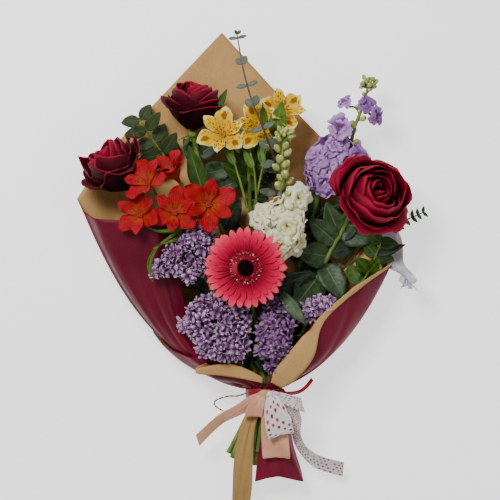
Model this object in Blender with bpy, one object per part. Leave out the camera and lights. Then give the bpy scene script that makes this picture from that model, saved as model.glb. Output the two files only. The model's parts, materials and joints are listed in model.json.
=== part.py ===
"""A mixed flower bouquet in a two-tone paper wrap, lying on its back.

X runs across the bouquet, Y from the handle up to the blooms, and Z stands up from the
surface that the wrap lies on. Places below are in millimetres and go through mm().
"""

import math
import random

import bmesh
import bpy
from mathutils import Matrix, Vector
from mathutils.bvhtree import BVHTree

# Driving dimensions, in metres
PAPER = 0.0008
RIBBON = 0.0008
BLADE = 0.0009
CLEAR = 0.0004
NECK = Vector((0.014, -0.133, 0.027))
STEM_RADIUS = 0.0029
STEM_PITCH = 0.0062
BACK_RING = 0.0170
OUTER_RING = 0.0184
TIE_RING = 0.0193
COLLAR = (-0.141, -0.126)
OUTER_COLLAR = (-0.141, -0.1276)
BOW_LIFT = 0.0012
TWINE_RADIUS = 0.0009
BACK_REST = 0.0016
OUTER_REST = 0.0004
SHEET_GAP = 0.0031
KEPT_SHARE = 0.8
GOLDEN = math.radians(137.5)

# Colour, roughness and metallic value of each material
FINISHES = {
    "kraft_paper": ((0.52, 0.34, 0.17), 0.75, 0.0),
    "burgundy_paper": ((0.19, 0.012, 0.03), 0.4, 0.0),
    "red_satin": ((0.40, 0.01, 0.02), 0.35, 0.0),
    "peach_satin": ((0.80, 0.52, 0.40), 0.35, 0.0),
    "printed_satin": ((0.85, 0.78, 0.74), 0.4, 0.0),
    "tissue": ((0.66, 0.64, 0.72), 0.8, 0.0),
    "twine": ((0.10, 0.02, 0.02), 0.8, 0.0),
    "rose_petal": ((0.17, 0.003, 0.012), 0.55, 0.0),
    "gerbera_petal": ((0.80, 0.06, 0.10), 0.5, 0.0),
    "gerbera_disc": ((0.06, 0.01, 0.01), 0.8, 0.0),
    "yellow_petal": ((0.85, 0.60, 0.06), 0.5, 0.0),
    "red_petal": ((0.66, 0.05, 0.02), 0.5, 0.0),
    "white_petal": ((0.82, 0.82, 0.66), 0.55, 0.0),
    "purple_petal": ((0.33, 0.19, 0.55), 0.55, 0.0),
    "lilac_petal": ((0.42, 0.30, 0.58), 0.55, 0.0),
    "green_stem": ((0.09, 0.19, 0.04), 0.55, 0.0),
    "dark_leaf": ((0.03, 0.08, 0.03), 0.45, 0.0),
    "grey_leaf": ((0.17, 0.26, 0.21), 0.6, 0.0),
}

# Half-widths of each leaf along its length, as shares of the widest
ROSE_LEAF = (0.16, 0.9, 1.0, 0.66)
OVAL_LEAF = (0.16, 0.95, 0.85)
ROUND_LEAF = (0.2, 0.95, 0.85)
SMALL_LEAF = (0.3, 1.0)
LANCE_LEAF = (0.3, 1.0, 0.75)
STRAP_LEAF = (0.5, 1.0, 0.8)


def mm(x, y, z):
    """A point given in millimetres."""
    return Vector((x, y, z)) * 0.001


def finish(name):
    """The Principled material of that name, made once."""
    material = bpy.data.materials.get(name)
    if material is None:
        colour, roughness, metallic = FINISHES[name]
        material = bpy.data.materials.new(name)
        material.use_nodes = True
        shader = material.node_tree.nodes["Principled BSDF"]
        shader.inputs["Base Color"].default_value = (*colour, 1.0)
        shader.inputs["Roughness"].default_value = roughness
        shader.inputs["Metallic"].default_value = metallic
        material.diffuse_color = (*colour, 1.0)
    return material


# ---------------------------------------------------------------- closed shapes


def signed_volume(verts, faces):
    """Six times the volume inside the faces, negative where they point in."""
    total = 0.0
    for face in faces:
        first = verts[face[0]]
        for a, b in zip(face[1:-1], face[2:]):
            total += first.dot(verts[a].cross(verts[b]))
    return total


def facing_out(verts, faces):
    if signed_volume(verts, faces) < 0:
        faces = [tuple(reversed(face)) for face in faces]
    return verts, faces


def blade(root, along, facing, length, widths, bend=0.0, fold=0.0, thick=BLADE):
    """A leaf or narrow petal: a closed lens from a small square root to a pointed tip.

    widths are half-widths at even steps, bend turns the tip towards facing, and fold
    lifts the two edges by that share of the half-width.
    """
    along = along.normalized()
    facing = (facing - along * facing.dot(along)).normalized()
    side = along.cross(facing)
    steps = len(widths)
    point = root.copy()
    verts = []
    for step, half in enumerate(widths):
        turn = bend * step / steps
        up = facing * math.cos(turn) - along * math.sin(turn)
        lift = up * (fold * half)
        verts += [point - side * half + lift, point + up * thick / 2]
        verts += [point + side * half + lift, point - up * thick / 2]
        middle = bend * (step + 0.5) / steps
        point = point + (along * math.cos(middle) + facing * math.sin(middle)) * (length / steps)
    verts.append(point)
    tip = len(verts) - 1
    faces = [(0, 1, 2), (0, 2, 3)]
    for ring in range(0, tip - 4, 4):
        for corner in range(4):
            a = ring + corner
            b = ring + (corner + 1) % 4
            if corner in (0, 3):
                faces += [(a, b + 4, b), (a, a + 4, b + 4)]
            else:
                faces += [(a, a + 4, b), (b, a + 4, b + 4)]
    for corner in range(4):
        faces.append((tip - 4 + corner, tip, tip - 4 + (corner + 1) % 4))
    return facing_out(verts, faces)


def grid_normals(rows):
    """The direction that each point of a grid faces."""
    last_row = len(rows) - 1
    last = len(rows[0]) - 1
    normals = []
    for r, row in enumerate(rows):
        line = []
        for c in range(last + 1):
            down = rows[min(r + 1, last_row)][c] - rows[max(r - 1, 0)][c]
            across = row[min(c + 1, last)] - row[max(c - 1, 0)]
            line.append(across.cross(down).normalized())
        normals.append(line)
    return normals


def petal(rows, thick=BLADE):
    """A wide petal from a grid of points: two skins that meet along its whole edge."""
    normals = grid_normals(rows)
    last_row = len(rows) - 1
    last = len(rows[0]) - 1
    verts = []
    front = {}
    back = {}
    for r, row in enumerate(rows):
        for c, point in enumerate(row):
            if r in (0, last_row) or c in (0, last):
                front[r, c] = back[r, c] = len(verts)
                verts.append(point)
            else:
                front[r, c] = len(verts)
                verts.append(point + normals[r][c] * thick / 2)
                back[r, c] = len(verts)
                verts.append(point - normals[r][c] * thick / 2)
    faces = []
    for r in range(last_row):
        for c in range(last):
            a, b, d, e = (r, c), (r, c + 1), (r + 1, c), (r + 1, c + 1)
            if (r, c) in ((0, last - 1), (last_row - 1, 0)):
                splits = ((a, b, d), (b, e, d))
            else:
                splits = ((a, b, e), (a, e, d))
            for split in splits:
                faces.append(tuple(front[key] for key in split))
                faces.append(tuple(back[key] for key in reversed(split)))
    return facing_out(verts, faces)


def sheet(rows, thick, rest=None):
    """Paper or ribbon from a grid of points, with square edges. Where rest is given,
    the sheet's middle never dips under that height, so its back lies flat there."""
    normals = grid_normals(rows)
    count = len(rows[0])
    verts = []
    for side in (0.5, -0.5):
        for row, line in zip(rows, normals):
            for point, normal in zip(row, line):
                moved = point + normal * (thick * side)
                if rest is not None:
                    up = 0.5 if normal.z * side > 0 else -0.5
                    moved.z = max(moved.z, rest + thick * up)
                verts.append(moved)
    layer = len(rows) * count
    faces = []
    for r in range(len(rows) - 1):
        for c in range(count - 1):
            a = r * count + c
            b, d, e = a + 1, a + count, a + count + 1
            faces += [(a, b, e), (a, e, d)]
            faces += [(e + layer, b + layer, a + layer), (d + layer, e + layer, a + layer)]
    edge = [c for c in range(count)]
    edge += [r * count + count - 1 for r in range(1, len(rows))]
    edge += [(len(rows) - 1) * count + c for c in range(count - 2, -1, -1)]
    edge += [r * count for r in range(len(rows) - 2, 0, -1)]
    for a, b in zip(edge, edge[1:] + edge[:1]):
        faces += [(b, a, a + layer), (b, a + layer, b + layer)]
    return facing_out(verts, faces)


def smooth(points, steps):
    """Points on a smooth curve through the given ones, steps to each span."""
    found = []
    for n in range(len(points) - 1):
        before = points[max(n - 1, 0)]
        a = points[n]
        b = points[n + 1]
        after = points[min(n + 2, len(points) - 1)]
        for step in range(steps):
            t = step / steps
            found.append(
                a * (1 - 2.5 * t**2 + 1.5 * t**3)
                + b * (0.5 * t + 2 * t**2 - 1.5 * t**3)
                + before * (-0.5 * t + t**2 - 0.5 * t**3)
                + after * (-0.5 * t**2 + 0.5 * t**3)
            )
    found.append(points[-1].copy())
    return found


def tube(points, radii, sides=5):
    """A stem along the points with a radius at each, closed at both ends."""
    verts = []
    ahead = (points[1] - points[0]).normalized()
    across = ahead.orthogonal().normalized()
    for n, point in enumerate(points):
        ahead = (points[min(n + 1, len(points) - 1)] - points[max(n - 1, 0)]).normalized()
        across = (across - ahead * across.dot(ahead)).normalized()
        other = ahead.cross(across)
        for side in range(sides):
            turn = math.tau * side / sides
            verts.append(point + (across * math.cos(turn) + other * math.sin(turn)) * radii[n])
    faces = [tuple(range(sides - 1, -1, -1))]
    for ring in range(len(points) - 1):
        for side in range(sides):
            a = ring * sides + side
            b = ring * sides + (side + 1) % sides
            faces += [(a, b, b + sides), (a, b + sides, a + sides)]
    end = (len(points) - 1) * sides
    faces.append(tuple(range(end, end + sides)))
    return facing_out(verts, faces)


def taper(first, last, count):
    return [first + (last - first) * n / (count - 1) for n in range(count)]


def ball(centre, radii, turn=None, subdivisions=1):
    """A ball drawn out by its three radii and turned."""
    shape = bmesh.new()
    bmesh.ops.create_icosphere(shape, subdivisions=subdivisions, radius=1.0)
    turn = turn or Matrix.Identity(3)
    verts = []
    for vert in shape.verts:
        stretched = Vector((vert.co.x * radii[0], vert.co.y * radii[1], vert.co.z * radii[2]))
        verts.append(centre + turn @ stretched)
    faces = [tuple(vert.index for vert in face.verts) for face in shape.faces]
    shape.free()
    return facing_out(verts, faces)


def star(centre, facing, radius, petals, depth, rim, spin=0.0):
    """A small open floret: a shallow bowl with petals round its rim and a pointed root.

    rim gives, for one petal, each point's share of the radius and its lift.
    """
    facing = facing.normalized()
    across = facing.orthogonal().normalized()
    other = facing.cross(across)
    count = petals * len(rim)
    verts = [centre, centre - facing * depth]
    for n in range(count):
        share, lift = rim[n % len(rim)]
        turn = spin + math.tau * n / count
        spoke = across * math.cos(turn) + other * math.sin(turn)
        verts.append(centre + spoke * (radius * share) + facing * (radius * lift))
    faces = []
    for n in range(count):
        a = 2 + n
        b = 2 + (n + 1) % count
        faces += [(0, a, b), (1, b, a)]
    return facing_out(verts, faces)


def upright(axis, lean=Vector((0, 0, 1))):
    """The turn that stands +Z on the axis."""
    z = axis.normalized()
    y = z.cross(lean)
    if y.length < 1e-4:
        y = z.cross(Vector((1, 0, 0)))
    y.normalize()
    return Matrix((y.cross(z), y, z)).transposed()


def over_ball(count, radii, turn=None):
    """Places spread evenly over a ball, each with the direction it faces."""
    turn = turn or Matrix.Identity(3)
    for n in range(count):
        height = 1 - (2 * n + 1) / count
        ring = math.sqrt(1 - height * height)
        unit = Vector((ring * math.cos(n * GOLDEN), ring * math.sin(n * GOLDEN), height))
        place = Vector(u * r for u, r in zip(unit, radii))
        facing = Vector(u / r for u, r in zip(unit, radii)).normalized()
        yield turn @ place, turn @ facing


# ---------------------------------------------------------------- solids and nodes


class Room:
    """What is already in the bouquet, so that a leaf or floret is turned clear of it."""

    def __init__(self):
        self.trees = {}

    def hold(self, key, solid):
        verts, faces = solid
        self.trees.setdefault(key, []).append(BVHTree.FromPolygons(verts, faces))

    def hold_object(self, obj):
        mesh = obj.data
        verts = [obj.matrix_world @ vert.co for vert in mesh.vertices]
        faces = [tuple(face.vertices) for face in mesh.polygons]
        self.trees[obj.name] = [BVHTree.FromPolygons(verts, faces)]

    def clear_of(self, solid, own):
        """Whether the solid, swollen by the clearance, misses all but its own node."""
        verts, faces = solid
        normals = [Vector() for _ in verts]
        for face in faces:
            a, b, c = (verts[corner] for corner in face[:3])
            normal = (b - a).cross(c - a)
            for corner in face:
                normals[corner] += normal
        swollen = [v + n.normalized() * CLEAR for v, n in zip(verts, normals)]
        tree = BVHTree.FromPolygons(swollen, faces)
        for key, others in self.trees.items():
            if key != own and any(tree.overlap(other) for other in others):
                return False
        return True


ROOM = Room()


def place_object(name, solid, material, parent=None):
    mesh = bpy.data.meshes.new(name)
    mesh.from_pydata([tuple(vert) for vert in solid[0]], [], solid[1])
    mesh.materials.append(finish(material))
    obj = bpy.data.objects.new(name, mesh)
    bpy.context.scene.collection.objects.link(obj)
    obj.parent = parent
    return obj


def keep_one_body(mesh):
    """Triangles only, points that coincide merged, and only the largest closed body."""
    shape = bmesh.new()
    shape.from_mesh(mesh)
    bmesh.ops.remove_doubles(shape, verts=shape.verts, dist=2e-6)
    bmesh.ops.dissolve_degenerate(shape, edges=shape.edges, dist=2e-6)
    bmesh.ops.triangulate(shape, faces=shape.faces)
    bodies = []
    seen = set()
    for start in shape.verts:
        if start in seen:
            continue
        body = {start}
        front = [start]
        while front:
            for edge in front.pop().link_edges:
                for vert in edge.verts:
                    if vert not in body:
                        body.add(vert)
                        front.append(vert)
        seen |= body
        bodies.append(body)
    bodies.sort(key=len)
    for body in bodies[:-1]:
        bmesh.ops.delete(shape, geom=list(body), context="VERTS")
    shape.to_mesh(mesh)
    shape.free()


def fuse(name, core, pieces, material, parent=None, kept=KEPT_SHARE):
    """Joins the pieces to the core in one Boolean union and removes them."""
    body = place_object(name, core, material, parent)
    helpers = bpy.data.collections.new(name + "_pieces")
    bpy.context.scene.collection.children.link(helpers)
    for piece in pieces:
        helper = place_object(name + "_piece", piece, material)
        bpy.context.scene.collection.objects.unlink(helper)
        helpers.objects.link(helper)
    union = body.modifiers.new("union", "BOOLEAN")
    union.operation = "UNION"
    union.operand_type = "COLLECTION"
    union.collection = helpers
    union.solver = "EXACT"
    if kept < 1:
        fewer = body.modifiers.new("fewer", "DECIMATE")
        fewer.ratio = kept
        fewer.use_collapse_triangulate = True
    graph = bpy.context.evaluated_depsgraph_get()
    joined = bpy.data.meshes.new_from_object(body.evaluated_get(graph))
    body.modifiers.clear()
    body.data = joined
    for helper in list(helpers.objects):
        bpy.data.objects.remove(helper)
    bpy.data.collections.remove(helpers)
    keep_one_body(joined)
    joined.materials.clear()
    joined.materials.append(finish(material))
    return body


# ---------------------------------------------------------------- paper wrap


def ring_point(degrees, radius, y):
    turn = math.radians(degrees)
    return Vector((NECK.x + radius * math.cos(turn), y, NECK.z + radius * math.sin(turn)))


# Lines of the back sheet from the neck to its rim, from the front-left edge round the back
# to the right edge: the angle at the neck, the point that the line bends to, and its rim.
BACK_LINES = (
    (141, (-98, -101, 62), (-70, 58, 85)),
    (150, (-104, -106, 54), (-102, 53, 83)),
    (160, (-108, -110, 42), (-134, 52, 79)),
    (168, (-110, -112, 32), (-167, 55, 66)),
    (177, (-109, -112, 24), (-182, 62, 52)),
    (187, (-106, -110, 14), (-188, 77, 38)),
    (200, (-98, -106, 4), (-171, 108, 15)),
    (214, (-84, -100, -4), (-144, 142, 5)),
    (232, (-56, -96, -8), (-88, 201, 0)),
    (252, (-20, -95, -8), (-32, 260, 0)),
    (284, (22, -95, -8), (20, 203, 0)),
    (312, (62, -97, -6), (72, 150, 4)),
    (336, (88, -98, 6), (104, 114, 12)),
    (352, (98, -98, 18), (132, 80, 25)),
    (366, (100, -96, 28), (148, 15, 45)),
)
# Where the outer sheet ends along each of those lines
OUTER_CUTS = (
    0.30, 0.34, 0.39, 0.43, 0.47, 0.52, 0.58, 0.64, 0.72, 0.76, 0.76, 0.78, 0.82, 0.88, 0.95,
)
# The outer sheet's own lines, in front of the back sheet's left and right edges: the angle
# at the neck, the point that the line bends to, its rim, and where its turned-out lip ends
OUTER_LEFT_LINES = (
    (98, (14, -122, 50), (13, -118, 52), (12, -122, 54)),
    (112, (-2, -118, 57), (-12, -104, 60), (-11, -117, 61)),
    (126, (-22, -119, 57), (-32, -102, 61), (-33, -114, 62)),
    (140, (-50, -116, 54), (-56, -107, 56), (-60, -111, 56)),
)
OUTER_RIGHT_LINES = (
    (376, (106, -100, 36), (150, 4, 50), (152, 3, 50)),
    (388, (100, -106, 44), (122, -14, 64), (125, -16, 63)),
    (400, (84, -112, 52), (98, -30, 70), (103, -34, 68)),
    (414, (66, -118, 56), (72, -51, 70), (82, -57, 66)),
    (430, (46, -122, 58), (50, -78, 67), (68, -82, 60)),
    (444, (28, -124, 54), (29, -106, 58), (56, -108, 48)),
)
NEAR_NECK = (0.05, 0.12, 0.21)
FAR_STEPS = 4
# How far the outer sheet goes on past its cuts, and where the crest of a lip stands
RIM_STEPS = (0.002, 0.004)
CREST_OUT = 0.0012
CREST_ON = 0.0022


def shares(top):
    """Where the points of a line lie. Those near the neck are the same on both sheets."""
    last = NEAR_NECK[-1]
    even = range(1, FAR_STEPS + 1)
    return NEAR_NECK + tuple(last + (top - last) * step / FAR_STEPS for step in even)


def line_point(line, radius, share, collar=COLLAR):
    """The point at that share of a line that bends from the neck to its rim."""
    degrees, bend, rim = line[:3]
    start = ring_point(degrees, radius, collar[1])
    left = 1 - share
    return start * left**2 + mm(*bend) * (2 * left * share) + mm(*rim) * share**2


def column(line, radius, top=1.0, collar=COLLAR):
    """A line of the sheet: its collar in the tie, then its points up to the rim."""
    points = [ring_point(line[0], radius, y) for y in collar]
    return points + [line_point(line, radius, share, collar) for share in shares(top)]


def outer_columns():
    """The outer sheet follows the back sheet, a little outside it, then goes on in front."""
    inner = [column(line, BACK_RING, top) for line, top in zip(BACK_LINES, OUTER_CUTS)]
    normals = grid_normals(inner)
    away = -1 if normals[8][5].z > 0 else 1
    followed = []
    for line, points, facing in zip(BACK_LINES, inner, normals):
        moved = [ring_point(line[0], OUTER_RING, y) for y in OUTER_COLLAR]
        for point, normal in zip(points[2:], facing[2:]):
            moved.append(point + normal * (SHEET_GAP * away))
        ahead = (moved[-1] - moved[-2]).normalized()
        followed.append(moved + [moved[-1] + ahead * step for step in RIM_STEPS])
    own = []
    for group in (OUTER_LEFT_LINES, OUTER_RIGHT_LINES):
        drawn = []
        for line in group:
            points = column(line, OUTER_RING, collar=OUTER_COLLAR)
            edge = mm(*line[3])
            outward = (edge - points[-1]).normalized() * CREST_OUT
            onward = (points[-1] - points[-2]).normalized() * CREST_ON
            drawn.append(points + [points[-1] + outward + onward, edge])
        own.append(drawn)
    return own[0] + followed + own[1]


def paper_wrap(parent):
    columns = [column(line, BACK_RING) for line in BACK_LINES]
    wrap = place_object("wrap_back_sheet", sheet(columns, PAPER, BACK_REST), "kraft_paper", parent)
    ROOM.hold_object(wrap)
    outer = sheet(outer_columns(), PAPER, OUTER_REST)
    wrap = place_object("wrap_outer_sheet", outer, "burgundy_paper", parent)
    ROOM.hold_object(wrap)


def paper_tails(parent):
    """The papers below the tie: a kraft strip in front and a burgundy flare on the right."""
    top = COLLAR[0] - CLEAR
    rows = [
        [ring_point(angle, OUTER_RING, top) for angle in (136, 122, 108)],
        [mm(-3, -152, 42), mm(4, -151, 43.5), mm(11, -151, 43)],
        [mm(-12, -172, 41), mm(-3, -171, 43), mm(5, -170, 42)],
        [mm(-18, -205, 37), mm(-9, -205, 39), mm(2, -205, 38)],
        [mm(-20, -235, 31), mm(-11, -235, 33), mm(1, -235, 32)],
        [mm(-21, -262, 24), mm(-12, -262, 26), mm(-2, -262, 25)],
    ]
    tail = place_object("kraft_tail", sheet(rows, PAPER), "kraft_paper", parent)
    ROOM.hold_object(tail)
    flare = [
        [ring_point(angle, OUTER_RING, top) for angle in (84, 50, 15, -20, -55)],
        [mm(17, -158, 44), mm(30, -158, 41), mm(38, -158, 28), mm(35, -158, 14), mm(24, -158, 5)],
        [mm(11, -180, 40), mm(29, -180, 42), mm(43, -180, 30), mm(40, -178, 12), mm(26, -178, 3)],
        [mm(7, -205, 36), mm(29, -206, 40), mm(49, -206, 30), mm(45, -203, 10), mm(28, -203, 2)],
        [mm(4, -231, 31), mm(28, -225, 37), mm(56, -231, 27), mm(50, -226, 8), mm(30, -224, 1.6)],
    ]
    handle = place_object("handle_paper", sheet(flare, PAPER, BACK_REST), "burgundy_paper", parent)
    ROOM.hold_object(handle)


def tissue_frill(parent):
    """The crumpled tissue that peeps out behind the right edge of the wrap."""
    columns = outer_columns()
    normals = grid_normals(columns)
    corner = len(OUTER_LEFT_LINES) + len(BACK_LINES) - 1
    away = -1 if normals[corner][-4].x < 0 else 1
    seat = []
    for c in (corner - 1, corner, corner + 1):
        seat.append(columns[c][-3] + normals[c][-3] * (away * (PAPER + CLEAR)))
    rows = []
    for n, root in enumerate(smooth(seat, 4)):
        share = n / 8
        wave = math.sin(n * 2.1) * 0.003
        root = root - mm(0, 0, 0.8)
        middle = root + mm(11, 2 - 6 * share, -3) + Vector((0, 0, wave))
        end = root + mm(25 - 10 * share, 6 - 16 * share, -5) - Vector((0, 0, wave * 1.3))
        rows.append([root, middle, end])
    frill = place_object("tissue_frill", sheet(rows, PAPER), "tissue", parent)
    ROOM.hold_object(frill)


# ---------------------------------------------------------------- ribbons and twine


def strip(path, halves, across, steps=2):
    """A ribbon along the path. halves and across give its half-width and its direction."""
    lift = Vector((0, 0, BOW_LIFT))
    points = smooth([mm(*point) + lift for point in path], steps)
    sides = smooth([mm(*a).normalized() * (h * 0.001) for a, h in zip(across, halves)], steps)
    rows = [[point - side, point + side] for point, side in zip(points, sides)]
    return sheet(rows, RIBBON)


def neck_ribbon(parent):
    """The thin red ribbon: its band round the neck, its knot and its free end."""
    sides = 16
    band = []
    for y in (NECK.y - 0.005, NECK.y + 0.005):
        for radius in (TIE_RING, TIE_RING + 0.0012):
            corner = radius / math.cos(math.pi / sides)
            band.append([ring_point(360 * n / sides, corner, y) for n in range(sides)])
    verts = [point for ring in (band[0], band[1], band[3], band[2]) for point in ring]
    faces = []
    for ring in range(4):
        for n in range(sides):
            m = (n + 1) % sides
            a, b = ring * sides + n, ring * sides + m
            c, d = (ring + 1) % 4 * sides + m, (ring + 1) % 4 * sides + n
            faces += [(a, b, c), (a, c, d)]
    out = ring_point(36, 1, 0) - ring_point(36, 0, 0)
    knot = ball(ring_point(36, 0.0244, -0.134), (0.005, 0.005, 0.0042), upright(out))
    end = strip(
        ((34, -134, 41), (42, -134, 44), (52, -132, 46), (60, -126, 49), (66, -118, 52)),
        (2, 2, 2, 2, 2),
        ((0, 1, 0), (0.1, 1, 0), (-0.2, 1, 0.2), (-0.6, 1, 0), (-0.8, 1, 0)),
        1,
    )
    ribbon = fuse("neck_ribbon", facing_out(verts, faces), [knot, end], "red_satin", parent, 1)
    ROOM.hold_object(ribbon)


def bow(parent):
    """The peach ribbon and the printed one, each with its loops and its tail."""
    flat = (1, 0, 0)
    lean = (1, 0.26, 0)
    short = strip(
        (
            (11, -134, 49.5), (8, -141, 51.6), (4, -150, 52.6), (3, -157, 51.9),
            (2.8, -159, 49.9), (3, -157, 47.9), (6, -146, 47.6), (10, -136, 47.8),
        ),
        (4, 7.5, 9.5, 9.5, 9.5, 9.5, 7.5, 4),
        (flat,) * 8,
        1,
    )
    long_loop = strip(
        (
            (20, -133, 50), (22, -146, 50.7), (25, -172, 50.1), (27, -198, 48.5), (27.5, -203.5, 45.8),
            (27, -197, 44), (24, -172, 46), (21, -146, 47.6), (19, -134, 48.2),
        ),
        (4, 9, 14, 15, 14, 14, 13, 9, 4),
        (flat,) * 9,
        1,
    )
    tail = strip(
        ((12, -135, 48.8), (0, -143, 50.5), (-14, -152, 50), (-34, -163, 43), (-58, -186, 33)),
        (4, 7, 7, 7, 7.5),
        ((0.3, 1, 0), (-0.5, 1, 0.4), (-0.7, 1, 0.7), (-0.5, 1, 0.9), (-0.3, 1, 0.6)),
    )
    knot = ball(mm(15.5, -134, 50.1), (0.0085, 0.0045, 0.0016))
    peach = fuse("peach_ribbon", knot, [short, long_loop, tail], "peach_satin", parent, 1)
    ROOM.hold_object(peach)
    loop = strip(
        (
            (22, -134, 55.6), (25, -146, 59), (29, -165, 60), (32, -176, 59.2), (32.6, -178.4, 57.2),
            (32, -176, 55.2), (28, -163, 54.4), (24, -146, 54), (21, -135, 54),
        ),
        (4, 10, 14, 14, 14, 13.5, 13, 10, 4),
        (lean,) * 9,
        1,
    )
    small = strip(
        (
            (24, -133, 55.3), (36, -139, 60), (50, -144, 59), (56, -146, 56), (49, -144, 53),
            (36, -139, 53), (24, -134, 54.2),
        ),
        (3, 6.5, 8, 8, 8, 6.5, 3),
        ((-0.3, 1, 0),) * 7,
        1,
    )
    tail = strip(
        (
            (25, -137, 54.3), (41, -147, 54), (49, -160, 50), (49, -176, 44), (55, -193, 37),
            (72, -209, 26), (101, -219, 14),
        ),
        (3.5, 7, 7.5, 7, 6.5, 8, 8.5),
        (
            (1, 0.6, 0), (1, 0.6, 0.5), (1, 0.1, 0.9), (1, 0.1, 1), (1, 0.5, 0.9), (0.5, 1, 0.5),
            (0.1, 1, 0.3),
        ),
    )
    knot = ball(mm(22.5, -134.5, 55.4), (0.0062, 0.0042, 0.0016))
    printed = fuse("printed_ribbon", knot, [loop, small, tail], "printed_satin", parent, 1)
    ROOM.hold_object(printed)


def twine(parent):
    """The twine's free end: a short cord that lies in a hook beside the neck."""
    route = (
        (-4.9, -134, 37.9), (-14, -137, 40), (-26, -137.5, 41), (-38, -142, 39), (-39, -148, 36),
        (-30, -154, 33),
    )
    path = smooth([mm(*point) for point in route], 3)
    line = bpy.data.curves.new("twine", "CURVE")
    line.dimensions = "3D"
    line.bevel_depth = TWINE_RADIUS
    line.bevel_resolution = 2
    line.use_fill_caps = True
    line.materials.append(finish("twine"))
    spline = line.splines.new("POLY")
    spline.points.add(len(path) - 1)
    for point, place in zip(spline.points, path):
        point.co = (*place, 1.0)
    cord = bpy.data.objects.new("twine", line)
    bpy.context.scene.collection.objects.link(cord)
    cord.parent = parent
    ROOM.hold("twine", tube(path, [TWINE_RADIUS] * len(path), 5))


# ---------------------------------------------------------------- stems

# Each stem: its slot at the tie (column and row of the close-packed bundle), the points
# that it passes, its radius at the far end, and its finish.
STEMS = {
    "rose_top": (
        (-1, 0),
        ((-4, -60, 28), (-28, 30, 22), (-52, 104, 17)),
        (-64.2, 146, 25.9), 0.0024, "green_stem",
    ),
    "rose_left": (
        (-2, 0),
        ((-27, -70, 32), (-68, 0, 32), (-103, 53, 28)),
        (-127, 84.3, 37.1), 0.0024, "green_stem",
    ),
    "rose_right": (
        (1, 0),
        ((40, -70, 33), (76, 0, 34), (101, 46, 38)),
        (113.1, 68.1, 54.2), 0.0024, "green_stem",
    ),
    "gerbera": ((0, 2), ((7, -70, 46), (-2, -24, 60)), (-6, 2, 90), 0.0026, "green_stem"),
    "yellow_alstroemeria": (
        (-0.5, -1),
        ((8, -60, 21), (2, 30, 20), (-2, 90, 26)),
        (-2, 112, 36), 0.0022, "green_stem",
    ),
    "red_alstroemeria": ((-1.5, 1), ((-25, -85, 40), (-58, -20, 42)), (-84, 32, 52), 0.0022, "green_stem"),
    "white_stock": ((0.5, 1), ((20, -70, 42), (26, -20, 46)), "white_stock", 0.0026, "green_stem"),
    "purple_stock": ((0.5, -1), ((30, -60, 21), (58, 20, 19)), "purple_stock", 0.0026, "green_stem"),
    "lilac_upper": ((-0.5, 1), ((-10, -85, 43), (-33, -38, 46)), "lilac_upper", 0.0018, "green_stem"),
    "lilac_lower": ((-1, 2), ((-8, -107, 43.5),), "lilac_lower", 0.0018, "green_stem"),
    "lilac_centre": ((1, 2), ((21.5, -107, 43.5),), "lilac_centre", 0.0018, "green_stem"),
    "lilac_right": ((1.5, 1), ((39, -96, 39),), "lilac_right", 0.0016, "green_stem"),
    "eucalyptus": (
        (0, 0),
        (
            (18, -60, 27), (24, 40, 33), (28, 96, 44), (25, 118, 63), (15, 145, 80), (1, 180, 82),
            (-8, 212, 82),
        ),
        (-15, 251, 76),
        0.0008,
        "grey_leaf",
    ),
    "oval_leaf_spray": (
        (-1.5, -1),
        ((-30, -40, 22), (-64, 46, 15), (-78, 95, 17), (-92, 120, 21), (-108, 142, 24)),
        (-121, 163, 27),
        0.0008,
        "green_stem",
    ),
    "ovate_leaf_spray": (
        (2, 0),
        ((60, -85, 33), (106, -32, 42), (127, -2, 49)),
        (140, 30, 54), 0.0008, "green_stem",
    ),
    "fine_twig": (
        (1.5, -1),
        ((52, -75, 25), (100, 0, 26), (140, 40, 42), (160, 50, 47)),
        (187, 62, 47), 0.0007, "dark_leaf",
    ),
    "dark_twig": (
        (0, -2),
        ((10, -60, 13), (2, 20, 10), (2, 60, 12), (9, 86, 15)),
        (19, 104, 17), 0.0008, "dark_leaf",
    ),
}
STEM_STEPS = 2


def slot_offset(slot):
    """Where a slot of the close-packed bundle lies from the neck's centre."""
    column, row = slot
    return Vector((column * STEM_PITCH, 0, row * STEM_PITCH * math.sqrt(0.75)))


def stem_route(slot, passes, end):
    """From the cut end, through the tie, past the given points to the head."""
    offset = slot_offset(slot)
    left = slot[0] < -1.2
    spread = Vector((offset.x * 1.3, 0, offset.z * 1.15))
    length = -0.198 - 0.010 * ((slot[0] * 3 + slot[1]) % 2)
    foot = Vector((NECK.x - 0.006, length, NECK.z - 0.006)) + spread
    if left:
        foot += Vector((-0.0165, -0.002, 0.004 - 0.003 * slot[1]))
    middle = Vector((NECK.x - 0.002, -0.166, NECK.z - 0.002)) + offset * 1.12
    if left:
        middle.x -= 0.005
    low = NECK + offset
    low.y = -0.143
    high = NECK + offset
    high.y = -0.124
    passed = [mm(*p) for p in passes]
    last = end_under({**STOCKS, **LILACS}[end], passed[-1]) if isinstance(end, str) else mm(*end)
    return [foot, middle, low, high] + passed + [last]


def stem_tube(name):
    slot, passes, end, tip_radius, _ = STEMS[name]
    points = stem_route(slot, passes, end)
    route = points[:3] + smooth(points[3:], STEM_STEPS)
    held = [STEM_RADIUS] * 4
    held += taper(STEM_RADIUS, tip_radius, len(route) - 3)[1:]
    return route, tube(route, held)


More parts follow.
